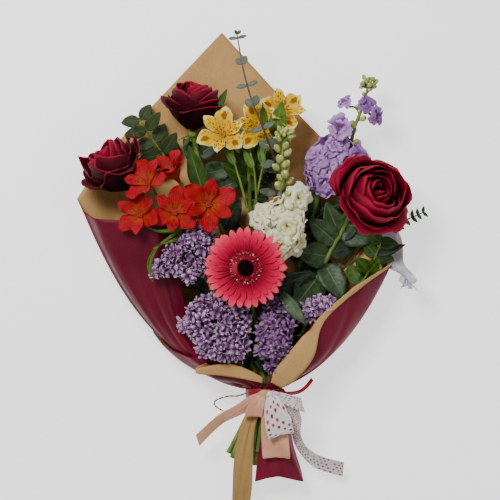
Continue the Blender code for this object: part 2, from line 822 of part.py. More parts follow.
class Green:
    """A stem with its side branches, buds, sepals and leaves, fused into one node."""

    def __init__(self, name, node):
        self.node = node
        self.finish = STEMS[name][4]
        self.route, self.core = stem_tube(name)
        self.pieces = []
        ROOM.hold(node, self.core)

    def add(self, piece):
        self.pieces.append(piece)
        ROOM.hold(self.node, piece)

    def leaf(self, root, along, facing, length, shape, half, bend=0.2, fold=0.15):
        """A leaf, rolled or raised step by step until it misses everything else."""
        along = Vector(along).normalized()
        facing = Vector(facing).normalized()
        widths = [share * half for share in shape]
        for attempt in range(24):
            roll = math.radians(14) * ((attempt + 1) // 2) * (1 if attempt % 2 else -1)
            around = Matrix.Rotation(roll, 3, "Z" if attempt < 12 else "Y")
            piece = blade(root, around @ along, around @ facing, length, widths, bend, fold)
            if ROOM.clear_of(piece, self.node):
                self.add(piece)
                return True
        return False

    def finish_node(self, parent, kept=KEPT_SHARE):
        obj = fuse(self.node, self.core, self.pieces, self.finish, parent, kept)
        ROOM.hold_object(obj)
        return obj


# ---------------------------------------------------------------- roses

# Each rose: the foot of its bloom, its axis, radius, height and turn
ROSES = {
    "rose_top": ((-64, 150, 28), (0.05, 0.88, 0.46), 0.0285, 0.055, 0.5),
    "rose_left": ((-129.5, 87.5, 39), (-0.56, 0.70, 0.42), 0.030, 0.060, 1.4),
    "rose_right": ((115, 69.5, 58), (0.42, 0.32, 0.85), 0.0365, 0.056, 0.0),
}
# Each layer of petals: how many, span in degrees, belly and lip radius, height
ROSE_LAYERS = (
    (5, 88, 1.18, 1.0, 0.74),
    (4, 98, 0.86, 0.68, 0.90),
)
# How far each layer's rim rolls back, as a share of the radius
ROSE_CURLS = (0.16, 0.07)


def rose_petal(turn, span, belly, lip, height, foot, curl):
    """One petal of a bowl round +Z. Its left edge tucks inside its neighbour's right."""
    rows = []
    for v in (0.0, 0.5, 1.0):
        row = []
        for s in (-1.0, -0.35, 0.35, 1.0):
            radius = foot * (1 - v) ** 2 + 2 * v * (1 - v) * belly + lip * v * v
            radius += 0.0022 * s * v + (curl if v == 1.0 else 0.0)
            angle = turn + s * span / 2 * (0.45 + 0.55 * v)
            high = height * (0.1 + 0.9 * v - 0.10 * s * s * v * v) - (curl * 0.8 if v == 1.0 else 0.0)
            row.append(Vector((radius * math.cos(angle), radius * math.sin(angle), high)))
        rows.append(row)
    return petal(rows)


def rose_bloom(name, parent):
    foot, axis, radius, height, turn = ROSES[name]
    # The heart of the bloom reaches down past the petals' feet, so that it holds them all
    middle = height * 0.45
    heart = (radius * 0.40, radius * 0.40, middle + 0.0039)
    core = ball(Vector((0, 0, middle)), heart, subdivisions=2)
    pieces = []
    for layer, (count, span, belly, lip, high) in enumerate(ROSE_LAYERS):
        for n in range(count):
            around = turn + layer * 0.5 + math.tau * n / count
            widths = (radius * belly, radius * lip)
            curl = radius * ROSE_CURLS[layer]
            petal_foot = radius * 0.2
            pieces.append(rose_petal(around, math.radians(span), *widths, height * high, petal_foot, curl))
    bloom = fuse(name + "_bloom", core, pieces, "rose_petal", parent)
    bloom.location = mm(*foot)
    bloom.rotation_euler = upright(Vector(axis)).to_euler()
    bpy.context.view_layer.update()
    ROOM.hold_object(bloom)


def rose_green(name, leaves, parent):
    """Stem, sepals and leaves of a rose."""
    green = Green(name, name + "_stem")
    foot, axis, radius, _, turn = ROSES[name]
    axis = Vector(axis).normalized()
    top = mm(*STEMS[name][2])
    frame = upright(axis)
    for n in range(5):
        angle = turn + math.tau * n / 5
        out = frame @ Vector((math.cos(angle), math.sin(angle), 0))
        low = n % 3
        root = top - axis * (0.0007 + 0.0007 * low)
        green.leaf(root, out - axis * (0.25 + 0.1 * low), axis, radius * 0.62, (0.6, 1.0), 0.0022, -0.5, 0.0)
    for root, along, facing, length, half in leaves:
        green.leaf(mm(*root), along, facing, length, ROSE_LEAF, half, -0.25, 0.18)
    green.finish_node(parent, 1)


# ---------------------------------------------------------------- gerbera


def gerbera(parent):
    place = mm(-6, 2, 96.5)
    ring = tube([Vector((0, 0, -0.0016)), Vector((0, 0, 0.0016))], [0.0175, 0.0175], 18)
    rng = random.Random(5)
    pieces = []
    for row, (count, root, length, half, rise, height) in enumerate(
        ((18, 0.0150, 0.0290, 0.0048, 0.08, -0.0004), (12, 0.0150, 0.0180, 0.0034, 0.24, 0.0008))
    ):
        for n in range(count):
            angle = math.tau * (n + 0.5 * row) / count + rng.uniform(-0.012, 0.012)
            out = Vector((math.cos(angle), math.sin(angle), 0))
            start = out * root + Vector((0, 0, height))
            widths = (half * 0.45, half)
            along = out + Vector((0, 0, rise))
            pieces.append(blade(start, along, Vector((0, 0, 1)), length, widths, -0.22, 0.12))
    bloom = fuse("gerbera_petals", ring, pieces, "gerbera_petal", parent)
    crown = tube([Vector((0, 0, 0.0022)), Vector((0, 0, 0.0052))], [0.0150, 0.0135], 16)
    verts, faces = crown
    for n in range(0, 16, 2):
        for ring_start in (0, 16):
            verts[ring_start + n].x *= 0.88
            verts[ring_start + n].y *= 0.88
    dome = ball(Vector((0, 0, 0.0057)), (0.0092, 0.0092, 0.0036), subdivisions=2)
    disc = fuse("gerbera_disc", (verts, faces), [dome], "gerbera_disc", parent)
    for obj in (bloom, disc):
        obj.location = place
    bpy.context.view_layer.update()
    ROOM.hold_object(bloom)
    ROOM.hold_object(disc)
    green = Green("gerbera", "gerbera_stem")
    top = mm(*STEMS["gerbera"][2])
    calyx = [top - mm(0, 0, 2), top + mm(0, 0, 1.6), top + mm(0, 0, 4.3)]
    green.add(tube(calyx, [0.0024, 0.0088, 0.0102], 8))
    green.finish_node(parent)


# ---------------------------------------------------------------- alstroemeria

# Each floret: the foot of its funnel, its axis, size and turn
YELLOW_FLORETS = (
    ((-29.5, 143, 51), (-0.13, 0.26, 0.9), 0.0312, 0.4),
    ((6.2, 150, 47), (0.15, 0.2, 0.95), 0.0325, 0.0),
    ((31, 166, 46), (0.25, 0.45, 0.85), 0.030, 0.8),
)
RED_FLORETS = (
    ((-76, 93, 76), (-0.52, 0.74, 0.42), 0.034, 0.2),
    ((-106, 88, 80), (-0.45, 0.5, 0.75), 0.030, 0.7),
    ((-115, 57, 78), (-0.35, 0.2, 0.9), 0.030, 0.1),
    ((-81, 59, 79), (0.0, 0.2, 0.97), 0.031, 0.9),
    ((-46, 68, 76), (0.10, 0.15, 0.97), 0.035, 0.5),
)


def alstroemeria_floret(name, spec, colour, parent, openness):
    foot, axis, size, turn = spec
    rng = random.Random(name)
    core = tube([Vector((0, 0, 0)), Vector((0, 0, size * 0.30))], [0.0016, 0.0034], 6)
    pieces = []
    for n in range(6):
        outer = n % 2 == 0
        angle = turn + math.tau * n / 6 + rng.uniform(-0.06, 0.06)
        out = Vector((math.cos(angle), math.sin(angle), 0))
        up = Vector((0, 0, 1))
        lean = math.radians(openness + (7 if outer else -7) + rng.uniform(-2, 2))
        along = out * math.sin(lean) + up * math.cos(lean)
        facing = up * math.sin(lean) - out * math.cos(lean)
        half = size * (0.24 if outer else 0.15)
        start = out * 0.0008 + up * (size * 0.10)
        pieces.append(blade(start, along, facing, size * 0.96, (0.0012, half), -0.75, 0.25))
    floret = fuse(name, core, pieces, colour, parent)
    floret.location = mm(*foot)
    floret.rotation_euler = upright(Vector(axis)).to_euler()
    bpy.context.view_layer.update()
    ROOM.hold_object(floret)


def alstroemeria(parent):
    for number, spec in enumerate(YELLOW_FLORETS, 1):
        alstroemeria_floret(f"yellow_alstroemeria_floret_{number}", spec, "yellow_petal", parent, 34)
    for number, spec in enumerate(RED_FLORETS, 1):
        opening = 14 if number == 1 else 34
        alstroemeria_floret(f"red_alstroemeria_floret_{number}", spec, "red_petal", parent, opening)


def pedicels(green, florets):
    """A side stem from the top of the main one to the foot of each floret."""
    start = green.route[-2]
    fork = green.route[-1]
    for foot, axis, _, _ in florets:
        axis = Vector(axis).normalized()
        end = mm(*foot) - axis * 0.0008
        middle = (fork + end) / 2 - Vector((0, 0, 0.003)) - axis * 0.004
        route = [start.lerp(fork, 0.7), fork.lerp(middle, 0.3), middle, end - axis * 0.005, end]
        piece = tube(route, taper(0.0013, 0.0014, len(route)), 4)
        green.add(piece)


def alstroemeria_greens(parent):
    yellow = Green("yellow_alstroemeria", "yellow_alstroemeria_stem")
    pedicels(yellow, YELLOW_FLORETS)
    fork = yellow.route[-1]
    for along, length, half in (
        ((-0.5, 1, 0.3), 0.036, 0.006),
        ((0.9, 1, 0.5), 0.030, 0.005),
        ((-0.9, 0.5, 0.5), 0.030, 0.005),
        ((0.3, -0.6, 0.9), 0.026, 0.006),
        ((0.9, 0.1, 0.6), 0.028, 0.005),
    ):
        yellow.leaf(fork, along, (0, 0, 1), length, LANCE_LEAF, half)
    yellow.leaf(mm(29, 160, 43), (0.1, 1, 0.1), (0, 0, 1), 0.034, LANCE_LEAF, 0.0055)
    yellow.finish_node(parent)
    red = Green("red_alstroemeria", "red_alstroemeria_stem")
    pedicels(red, RED_FLORETS)
    fork = red.route[-1]
    for along, length, half in (
        ((-0.2, 1, 0.0), 0.050, 0.007),
        ((0.7, 1, 0.1), 0.055, 0.009),
        ((-1, 0.3, -0.1), 0.040, 0.006),
        ((0.9, 0.1, 0.3), 0.034, 0.006),
    ):
        red.leaf(fork, along, (0, 0, 1), length, LANCE_LEAF, half)
    strap = red.route[-2]
    red.leaf(strap, (-1, 0.1, 0.35), (0.2, 0, 1), 0.062, STRAP_LEAF, 0.0055, -0.9)
    red.leaf(red.route[-3], (-1, 0.4, 0.5), (0, 0, 1), 0.045, STRAP_LEAF, 0.005, -0.3)
    red.finish_node(parent)


# ---------------------------------------------------------------- stocks and lilac


def floret_head(name, cores, spots, radius, petals, rim, colour, parent, seed):
    """Florets over a smaller core. Each one that would touch another node is moved or left out."""
    rng = random.Random(seed)
    pieces = list(cores[1:])
    for place, facing in spots:
        for attempt in range(6):
            nudge = Vector(rng.uniform(-1, 1) for _ in range(3)) * (0.10 + 0.12 * attempt)
            lean = (facing + nudge).normalized()
            size = radius * rng.uniform(0.88, 1.12) * (1 - 0.06 * attempt)
            floret = star(place + facing * 0.001, lean, size, petals, 0.009, rim, rng.uniform(0, 1.6))
            if ROOM.clear_of(floret, name):
                pieces.append(floret)
                break
    head = fuse(name, cores[0], pieces, colour, parent)
    ROOM.hold_object(head)
    return head


STOCK_RIM = ((0.5, 0.02), (1.0, 0.22))
LILAC_RIM = ((0.36, 0.0), (1.0, 0.12))


def spots_round(centre, radii, count, turn=None):
    return [(centre + place, facing) for place, facing in over_ball(count, radii, turn)]


def bud_spike(name, route, radii, buds, seed, colour, florets, parent):
    """The upper end of a stock: its stem with buds in a spiral, smaller towards the tip."""
    rng = random.Random(seed)
    points = smooth([mm(*p) for p in route], 2)
    pieces = [ball(points[-1], (0.003, 0.003, 0.004), upright(points[-1] - points[-2]))]
    for n in range(buds):
        share = (n + 0.5) / buds
        index = share * (len(points) - 1)
        base = int(index)
        point = points[base].lerp(points[min(base + 1, len(points) - 1)], index - base)
        ahead = (points[min(base + 1, len(points) - 1)] - points[base]).normalized()
        out = Matrix.Rotation(n * GOLDEN, 3, ahead) @ ahead.orthogonal().normalized()
        size = 0.0052 - 0.0022 * share
        lean = (out + ahead * 0.8).normalized()
        bud = ball(point + lean * (size * 1.25), (size * 0.7, size * 0.7, size * 1.25), upright(lean))
        if ROOM.clear_of(bud, name):
            pieces.append(bud)
    for place, facing, radius in florets:
        centre = mm(*place)
        nearest = min(points, key=lambda p: (p - centre).length)
        flower = star(centre, Vector(facing), radius, 4, 0.006, STOCK_RIM, rng.uniform(0, 1))
        foot = centre - Vector(facing).normalized() * 0.004
        link = tube([nearest, foot], [0.0011, 0.0013], 4)
        if ROOM.clear_of(flower, name) and ROOM.clear_of(link, name):
            pieces += [flower, link]
    spike = fuse(name, tube(points, taper(radii[0], radii[1], len(points)), 5), pieces, colour, parent)
    ROOM.hold_object(spike)


PURPLE_UPPER_FLORETS = (
    ((96, 152, 55), (-0.6, 0.2, 0.8), 0.0105),
    ((101, 181, 57), (-0.6, 0.4, 0.8), 0.0095),
    ((131, 168, 58), (0.6, 0.0, 0.8), 0.0100),
    ((127, 180, 60), (0.3, 0.3, 0.9), 0.0080),
)

# Each stock's head: its centre, the radii of its core, its lean in degrees, its florets and
# how far its stem ends from the round that the core is cut from
STOCKS = {
    "white_stock": ((32, 49, 71), (16, 28, 12), -6, 15, 0.0010),
    "purple_stock": ((90, 111, 41), (21, 28, 13), -38, 16, 0.0001),
}


def end_under(spec, towards):
    """The point just off a core, on the side that a stem comes from."""
    centre, radii, lean, _, gap = spec
    turn = Matrix.Rotation(math.radians(lean), 3, "Z")
    local = turn.transposed() @ (towards - mm(*centre))
    scaled = Vector(u / (r * 0.001) for u, r in zip(local, radii)).normalized()
    touch = Vector(u * r * 0.001 for u, r in zip(scaled, radii))
    out = Vector(u / (r * r) for u, r in zip(touch, radii)).normalized()
    return mm(*centre) + turn @ (touch + out * gap)


def stock_head(name, colour, seed, parent):
    centre, radii, lean, count, _ = STOCKS[name]
    turn = Matrix.Rotation(math.radians(lean), 3, "Z")
    size = [r * 0.001 for r in radii]
    core = ball(mm(*centre), size, turn, 2)
    spots = spots_round(mm(*centre), [r + 0.003 for r in size], count, turn)
    floret_head(name + "_florets", [core], spots, 0.0125, 4, STOCK_RIM, colour, parent, seed)


def stocks(parent):
    """Each tip is made before its head, whose florets then stay clear of it."""
    bud_spike(
        "white_stock_buds",
        ((35.2, 77.6, 71.5), (35, 95, 78), (33, 112, 82), (34, 130, 80), (34, 142, 77)),
        (0.0024, 0.0014), 11, 4, "white_petal", (), parent,
    )
    bud_spike(
        "purple_stock_tip",
        ((107.6, 133.6, 42.2), (112, 154, 50), (119, 172, 52), (124, 188, 51), (126, 199, 49)),
        (0.0022, 0.0013), 8, 8, "purple_petal", PURPLE_UPPER_FLORETS, parent,
    )
    stock_head("white_stock", "white_petal", 3, parent)
    stock_head("purple_stock", "purple_petal", 7, parent)


# Each lilac spray, in the same way
LILACS = {
    "lilac_upper": ((-57, 23, 74), (19, 26, 13), 10, 17, 0.0007),
    "lilac_lower": ((-34, -63, 66), (28, 31, 13), 25, 20, 0.0007),
    "lilac_centre": ((27, -63, 64), (16, 30, 12), -8, 14, 0.0007),
    "lilac_right": ((71, -42, 57), (11, 8, 6), 20, 5, 0.0007),
}


def lilacs(parent):
    for seed, (name, (centre, radii, lean, count, _)) in enumerate(LILACS.items(), 20):
        turn = Matrix.Rotation(math.radians(lean), 3, "Z")
        size = [r * 0.001 for r in radii]
        core = ball(mm(*centre), size, turn, 2)
        wide = [r + 0.002 for r in size]
        spots = spots_round(mm(*centre), wide, count, turn)
        floret_head(name + "_florets", [core], spots, 0.0115, 4, LILAC_RIM, "lilac_petal", parent, seed)


# ---------------------------------------------------------------- leafy sprays


ACROSS = Vector((1, 0, 0))
PAIR_AHEAD = 0.35
PAIR_ROLL = 35


def pairs_along(green, first, last, count, length, half, shape, drop=0.7, across=ACROSS):
    """Leaves in opposite pairs along a stretch of the stem, smaller towards its tip."""
    route = green.route
    for n in range(count):
        share = n / max(count - 1, 1)
        index = first + (last - first) * share
        base = min(int(index), len(route) - 2)
        point = route[base].lerp(route[base + 1], index - base)
        forward = (route[base + 1] - route[base]).normalized()
        size = 1 - (1 - drop) * share
        for side in (-1, 1):
            out = (across - forward * across.dot(forward)).normalized() * side
            roll = Matrix.Rotation(math.radians(PAIR_ROLL * (-1) ** n) * side, 3, forward)
            along = roll @ out + forward * PAIR_AHEAD
            green.leaf(point, along, Vector((0, 0, 1)), length * size, shape, half * size, -0.2, 0.12)


def sprays(parent):
    eucalyptus = Green("eucalyptus", "eucalyptus_twig")
    last = len(eucalyptus.route) - 1
    pairs_along(eucalyptus, last - 6.2, last - 0.6, 7, 0.021, 0.0072, ROUND_LEAF, 0.42)
    eucalyptus.finish_node(parent)
    oval = Green("oval_leaf_spray", "oval_leaf_spray")
    last = len(oval.route) - 1
    pairs_along(oval, last - 4.6, last - 0.1, 4, 0.033, 0.0085, OVAL_LEAF, 0.8, Vector((1, 1, 0)))
    oval.finish_node(parent)
    ovate = Green("ovate_leaf_spray", "ovate_leaf_spray")
    last = len(ovate.route) - 1
    pairs_along(ovate, last - 3.0, last - 0.1, 3, 0.028, 0.0095, OVAL_LEAF, 0.75, Vector((1, -0.3, 0)))
    ovate.leaf(ovate.route[last - 1], (1, 0.35, 0.1), (0, 0, 1), 0.034, LANCE_LEAF, 0.006)
    ovate.finish_node(parent)
    fine = Green("fine_twig", "fine_twig")
    last = len(fine.route) - 1
    pairs_along(fine, last - 3.0, last - 0.1, 5, 0.011, 0.0026, SMALL_LEAF, 0.7, Vector((0, 1, 0)))
    fine.finish_node(parent)
    dark = Green("dark_twig", "dark_twig")
    last = len(dark.route) - 1
    pairs_along(dark, last - 3.4, last - 0.1, 4, 0.016, 0.0040, SMALL_LEAF, 0.8)
    dark.finish_node(parent)


def greens(parent):
    """The stems of roses, stocks and lilac with their leaves."""
    rose_green("rose_top", (
        ((-58, 124, 19), (0.9, 0.6, 0.2), (0, 0, 1), 0.036, 0.0110),
        ((-52, 104, 17), (1, 0.2, 0.3), (0, 0, 1), 0.040, 0.0120),
        ((-56, 116, 18), (-0.6, 0.9, 0.15), (0, 0, 1), 0.032, 0.0095),
        ((-45, 84, 18), (1, 0.4, 0.2), (0, 0, 1), 0.040, 0.0120),
    ), parent)
    rose_green("rose_left", (
        ((-103, 53, 28), (-0.9, -0.2, 0.3), (0, 0, 1), 0.034, 0.0100),
    ), parent)
    rose_green("rose_right", (
        ((84, 14, 34), (-1.0, 0.15, 0.55), (-0.3, 0, 1), 0.040, 0.0145),
        ((74, -6, 33), (-0.6, -0.75, 0.6), (-0.2, -0.2, 1), 0.050, 0.0175),
        ((80, 5, 33.5), (0.5, -0.9, 0.5), (0.2, -0.2, 1), 0.044, 0.0150),
        ((92, 29, 36), (-0.8, 0.7, 0.3), (0, 0, 1), 0.040, 0.0130),
        ((98, 40, 37), (0.9, -0.2, 0.3), (0, 0, 1), 0.040, 0.0130),
        ((96, 36, 37), (-0.4, 1.0, 0.2), (0, 0, 1), 0.040, 0.0120),
    ), parent)
    for name, leaves in (
        ("white_stock", (((22, -55, 43.5), (0.2, 1, 0.8), 0.030, 0.005),)),
        ("purple_stock", (
            ((66, 46, 21.5), (-0.7, 1, 0.2), 0.046, 0.007),
            ((70, 56, 22.5), (1, 0.6, 0.2), 0.040, 0.006),
        )),
        ("lilac_upper", (((-33, -38, 46), (0.8, 0.8, 0.2), 0.034, 0.010),)),
        ("lilac_lower", ()),
        ("lilac_centre", ()),
        ("lilac_right", (((48, -83, 43.5), (0.9, -0.2, 0.6), 0.032, 0.009),)),
    ):
        green = Green(name, name + "_stem")
        for root, along, length, half in leaves:
            green.leaf(mm(*root), along, (0, 0, 1), length, OVAL_LEAF, half)
        green.finish_node(parent)


def bouquet():
    for obj in list(bpy.data.objects):
        bpy.data.objects.remove(obj)
    whole = bpy.data.objects.new("bouquet", None)
    bpy.context.scene.collection.objects.link(whole)
    paper_wrap(whole)
    paper_tails(whole)
    neck_ribbon(whole)
    bow(whole)
    twine(whole)
    tissue_frill(whole)
    for name in STEMS:
        node = name if name.endswith(("spray", "twig")) else name + "_stem"
        if name == "eucalyptus":
            node = "eucalyptus_twig"
        ROOM.hold(node, stem_tube(name)[1])
    for name in ROSES:
        rose_bloom(name, whole)
    gerbera(whole)
    alstroemeria(whole)
    stocks(whole)
    lilacs(whole)
    alstroemeria_greens(whole)
    greens(whole)
    sprays(whole)
    for obj in bpy.data.objects:
        if obj.type == "MESH":
            obj.data.shade_smooth()
            obj.data.set_sharp_from_angle(angle=math.radians(40))


bouquet()
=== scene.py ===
import json
import math
import random

import bpy
from mathutils import Matrix, Vector
from mathutils.bvhtree import BVHTree

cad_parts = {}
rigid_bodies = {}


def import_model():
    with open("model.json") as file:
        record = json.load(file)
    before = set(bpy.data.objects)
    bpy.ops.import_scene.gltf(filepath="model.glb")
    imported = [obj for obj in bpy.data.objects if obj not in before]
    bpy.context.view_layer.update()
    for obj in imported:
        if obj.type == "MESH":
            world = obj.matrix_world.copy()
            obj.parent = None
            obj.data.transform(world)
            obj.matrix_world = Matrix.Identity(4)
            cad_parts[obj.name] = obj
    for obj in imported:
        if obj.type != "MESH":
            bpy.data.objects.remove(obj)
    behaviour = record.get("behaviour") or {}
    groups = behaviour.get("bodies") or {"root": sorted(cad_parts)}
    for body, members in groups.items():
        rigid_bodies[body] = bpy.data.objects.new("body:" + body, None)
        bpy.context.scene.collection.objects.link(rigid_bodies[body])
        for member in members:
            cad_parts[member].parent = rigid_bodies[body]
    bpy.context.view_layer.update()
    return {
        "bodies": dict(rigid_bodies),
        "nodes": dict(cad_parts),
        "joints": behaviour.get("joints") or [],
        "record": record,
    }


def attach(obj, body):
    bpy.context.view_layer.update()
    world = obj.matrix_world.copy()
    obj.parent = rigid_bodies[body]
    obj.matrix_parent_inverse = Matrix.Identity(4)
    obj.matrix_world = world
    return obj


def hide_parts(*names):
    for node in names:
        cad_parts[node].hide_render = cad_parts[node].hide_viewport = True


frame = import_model()

UP = Vector((0, 0, 1))
GOLDEN = math.radians(137.5)
PAPER_THICK = 0.0004
TISSUE_THICK = 0.0003
RIBBON_THICK = 0.0003
FLORET_THICK = 0.0003
PETAL_THICK = 0.0004
LEAF_THICK = 0.0005
GERBERA_CENTRE = (-0.006, 0.002, 0.0965)


def mm(x, y, z):
    """A point given in millimetres."""
    return Vector((x, y, z)) * 0.001


def between(a, b, share):
    return a + (b - a) * share


def ease(value):
    value = min(max(value, 0.0), 1.0)
    return value * value * (3 - 2 * value)


def ray(angle):
    """The level direction at this angle."""
    return Vector((math.cos(angle), math.sin(angle), 0))


def span_at(share, last):
    """The span of a line that a share of it falls in, and how far into that span."""
    at = min(share * last, last - 1e-6)
    return int(at), at - int(at)


def line_curve(before, a, b, after, t):
    """A smooth curve from a to b for a single line, with regard to the points on either side."""
    return (
        a * (1 - 2.5 * t**2 + 1.5 * t**3)
        + b * (0.5 * t + 2 * t**2 - 1.5 * t**3)
        + before * (-0.5 * t + t**2 - 0.5 * t**3)
        + after * (-0.5 * t**2 + 0.5 * t**3)
    )


def smooth(points, steps):
    """Points on a smooth curve through the given ones, steps to each span."""
    last = len(points) - 1
    found = []
    for n in range(last):
        near = [points[min(max(n + k, 0), last)] for k in (-1, 0, 1, 2)]
        found += [line_curve(*near, step / steps) for step in range(steps)]
    return found + [points[-1].copy()]


def upright(axis, spin=0.0):
    """The turn that stands +Z on the axis."""
    z = Vector(axis).normalized()
    y = z.cross(UP)
    if y.length < 1e-4:
        y = Vector((0, 1, 0))
    y.normalize()
    turn = Matrix((y.cross(z), y, z)).transposed().to_4x4()
    return turn @ Matrix.Rotation(spin, 4, "Z")


def placed(at, axis, scale=1.0, spin=0.0):
    return Matrix.Translation(at) @ upright(axis, spin) @ Matrix.Diagonal((scale, scale, scale, 1))


def spiral(count, depth):
    """Directions spread evenly over a ball from +Z down, with a depth of 2 for all of it."""
    for n in range(count):
        height = 1 - depth * (n + 0.5) / count
        ring = math.sqrt(max(1 - height * height, 0))
        yield Vector((ring * math.cos(n * GOLDEN), ring * math.sin(n * GOLDEN), height))


# ---------------------------------------------------------------- materials


class Field:
    """A value that runs through a finish's nodes and takes plain arithmetic."""

    def __init__(self, finish, socket):
        self.finish, self.socket = finish, socket

    def maths(self, operation, other=0.0):
        return self.finish.add("Math", {0: self, 1: other}, operation=operation)

    def __add__(self, other):
        return self.maths("ADD", other)

    def __sub__(self, other):
        return self.maths("SUBTRACT", other)

    def __mul__(self, other):
        return self.maths("MULTIPLY", other)

    def __pow__(self, other):
        return self.maths("POWER", other)

    def __abs__(self):
        return self.maths("ABSOLUTE")


class Finish:
    """A Principled material built up from procedural nodes."""

    def __init__(self, name, roughness, specular=0.5, sheen=0.0):
        self.material = bpy.data.materials.new(name)
        self.material.use_nodes = True
        self.tree = self.material.node_tree
        self.inputs = self.tree.nodes["Principled BSDF"].inputs
        self.put("Roughness", roughness)
        self.put("Specular IOR Level", specular)
        self.put("Sheen Weight", sheen)
        self.height = None

    def put(self, name, value, inputs=None):
        socket = (inputs or self.inputs)[name]
        if isinstance(value, Field):
            self.tree.links.new(value.socket, socket)
        else:
            socket.default_value = value

    def add(self, kind, inputs, out=0, **settings):
        """Adds a node and gives the value that it puts out."""
        made = self.tree.nodes.new("ShaderNode" + kind)
        for key, value in settings.items():
            setattr(made, key, value)
        for key, value in inputs.items():
            self.put(key, value, made.inputs)
        return Field(self, made.outputs[out])

    def place(self, where="Object"):
        return self.add("TexCoord", {}, where)

    def across(self):
        """How far across the piece from 0 to 1, and how far from its foot to its tip."""
        split = self.add("SeparateXYZ", {0: self.place("UV")}).socket.node.outputs
        return Field(self, split[0]), Field(self, split[1])

    def attribute(self, name):
        return self.add("Attribute", {}, "Fac", attribute_name=name)

    def noise(self, scale, detail=3.0, rough=0.5, where="Object", stretch=None):
        coords = self.place(where)
        if stretch:
            coords = self.add("Mapping", {"Vector": coords, "Scale": stretch})
        inputs = {"Vector": coords, "Scale": scale, "Detail": detail, "Roughness": rough}
        return self.add("TexNoise", inputs, "Fac")

    def cells(self, coords, scale, randomness=1.0):
        inputs = {"Vector": coords, "Scale": scale, "Randomness": randomness}
        return self.add("TexVoronoi", inputs)

    def span(self, value, low, high, to_low=0.0, to_high=1.0):
        inputs = {0: value, 1: low, 2: high, 3: to_low, 4: to_high}
        return self.add("MapRange", inputs, interpolation_type="SMOOTHSTEP")

    def ramp(self, value, *stops):
        made = self.add("ValToRGB", {0: value})
        marks = made.socket.node.color_ramp.elements
        while len(marks) < len(stops):
            marks.new(0.5)
        for mark, (place, colour) in zip(marks, stops):
            mark.position = place
            mark.color = (*colour, 1.0)
        return made

    def mix(self, share, a, b):
        a, b = (value if isinstance(value, Field) else (*value, 1.0) for value in (a, b))
        return self.add("Mix", {0: share, 6: a, 7: b}, 2, data_type="RGBA")

    def colour(self, value):
        """The ground colour, which paint then goes over."""
        self.ground = value
        self.put("Base Color", value)

    def paint(self, share, colour):
        self.colour(self.mix(share, self.ground, colour))

    def shade(self, strength, colour):
        """Paints each piece by its own tint."""
        self.paint(self.span(self.attribute("tint"), 0.0, 1.0, 0.0, strength), colour)

    def bump(self, height, strength, distance):
        inputs = {"Height": height, "Strength": strength, "Distance": distance}
        if self.height:
            inputs["Normal"] = self.height
        self.height = self.add("Bump", inputs)
        self.put("Normal", self.height)


def kraft_finish(name, light, dark):
    paper = Finish(name, 0.78, 0.25)
    fibre = paper.noise(900.0, 3.0, 0.7, stretch=(1.0, 0.25, 1.0))
    paper.colour(paper.mix(paper.span(paper.noise(9.0, 4.0, 0.6), 0.3, 0.7), dark, light))
    paper.paint(paper.span(fibre, 0.42, 0.62, 0.0, 0.22), tuple(c * 0.62 for c in dark))
    paper.paint(paper.span(paper.noise(2200.0, 1.0), 0.66, 0.8, 0.0, 0.5), tuple(c * 0.5 for c in dark))
    paper.bump(paper.noise(26.0, 2.0), 0.35, 0.0012)
    paper.bump(fibre, 0.25, 0.00012)
    return paper.material


def burgundy_finish():
    paper = Finish("burgundy_paper", 0.5, 0.25)
    cloud = paper.span(paper.noise(7.0, 3.0, 0.55), 0.3, 0.72)
    paper.colour(paper.mix(cloud, (0.105, 0.0015, 0.014), (0.19, 0.003, 0.026)))
    paper.paint(paper.span(paper.noise(700.0, 2.0), 0.5, 0.75, 0.0, 0.2), (0.26, 0.02, 0.045))
    paper.put("Roughness", paper.span(paper.noise(30.0, 3.0), 0.3, 0.7, 0.42, 0.6))
    paper.bump(paper.noise(34.0, 2.0, stretch=(1.0, 0.3, 1.0)), 0.6, 0.0016)
    paper.bump(paper.noise(1300.0, 2.0), 0.12, 0.0001)
    return paper.material


def rose_finish():
    petal = Finish("rose_petal", 0.65, 0.15, 0.05)
    petal.put("Sheen Tint", (1.0, 0.05, 0.12, 1.0))
    petal.put("Sheen Roughness", 0.4)
    _, v = petal.across()
    veins = petal.noise(30.0, 3.0, 0.6, "UV", (5.0, 0.6, 1.0))
    # Near-black at each petal's foot, deep inside the bloom, to bright red at its rim: the rose's own
    # dark red, with painted shade towards the foot and painted light towards the rim.
    petal.colour(petal.ramp(
        petal.span(v + veins * 0.25, 0.35, 1.15), (0.0, (0.014, 0.0001, 0.0016)),
        (0.45, (0.048, 0.0003, 0.005)), (0.8, (0.14, 0.0006, 0.013)), (1.0, (0.30, 0.0015, 0.027)),
    ))
    # Darkened by each petal's tint, which rose_bloom sets layer by layer: the rose's own darkness on the
    # outer petals, painted shade further in.
    petal.shade(0.8, (0.010, 0.0001, 0.0018))
    # A bright pinkish line along each rim: painted highlight.
    petal.paint(petal.span(v + veins * 0.03, 0.955, 1.0, 0.0, 0.55), (0.42, 0.010, 0.045))
    petal.bump(veins, 0.4, 0.0005)
    petal.bump(petal.noise(1500.0, 2.0), 0.2, 0.00012)
    return petal.material


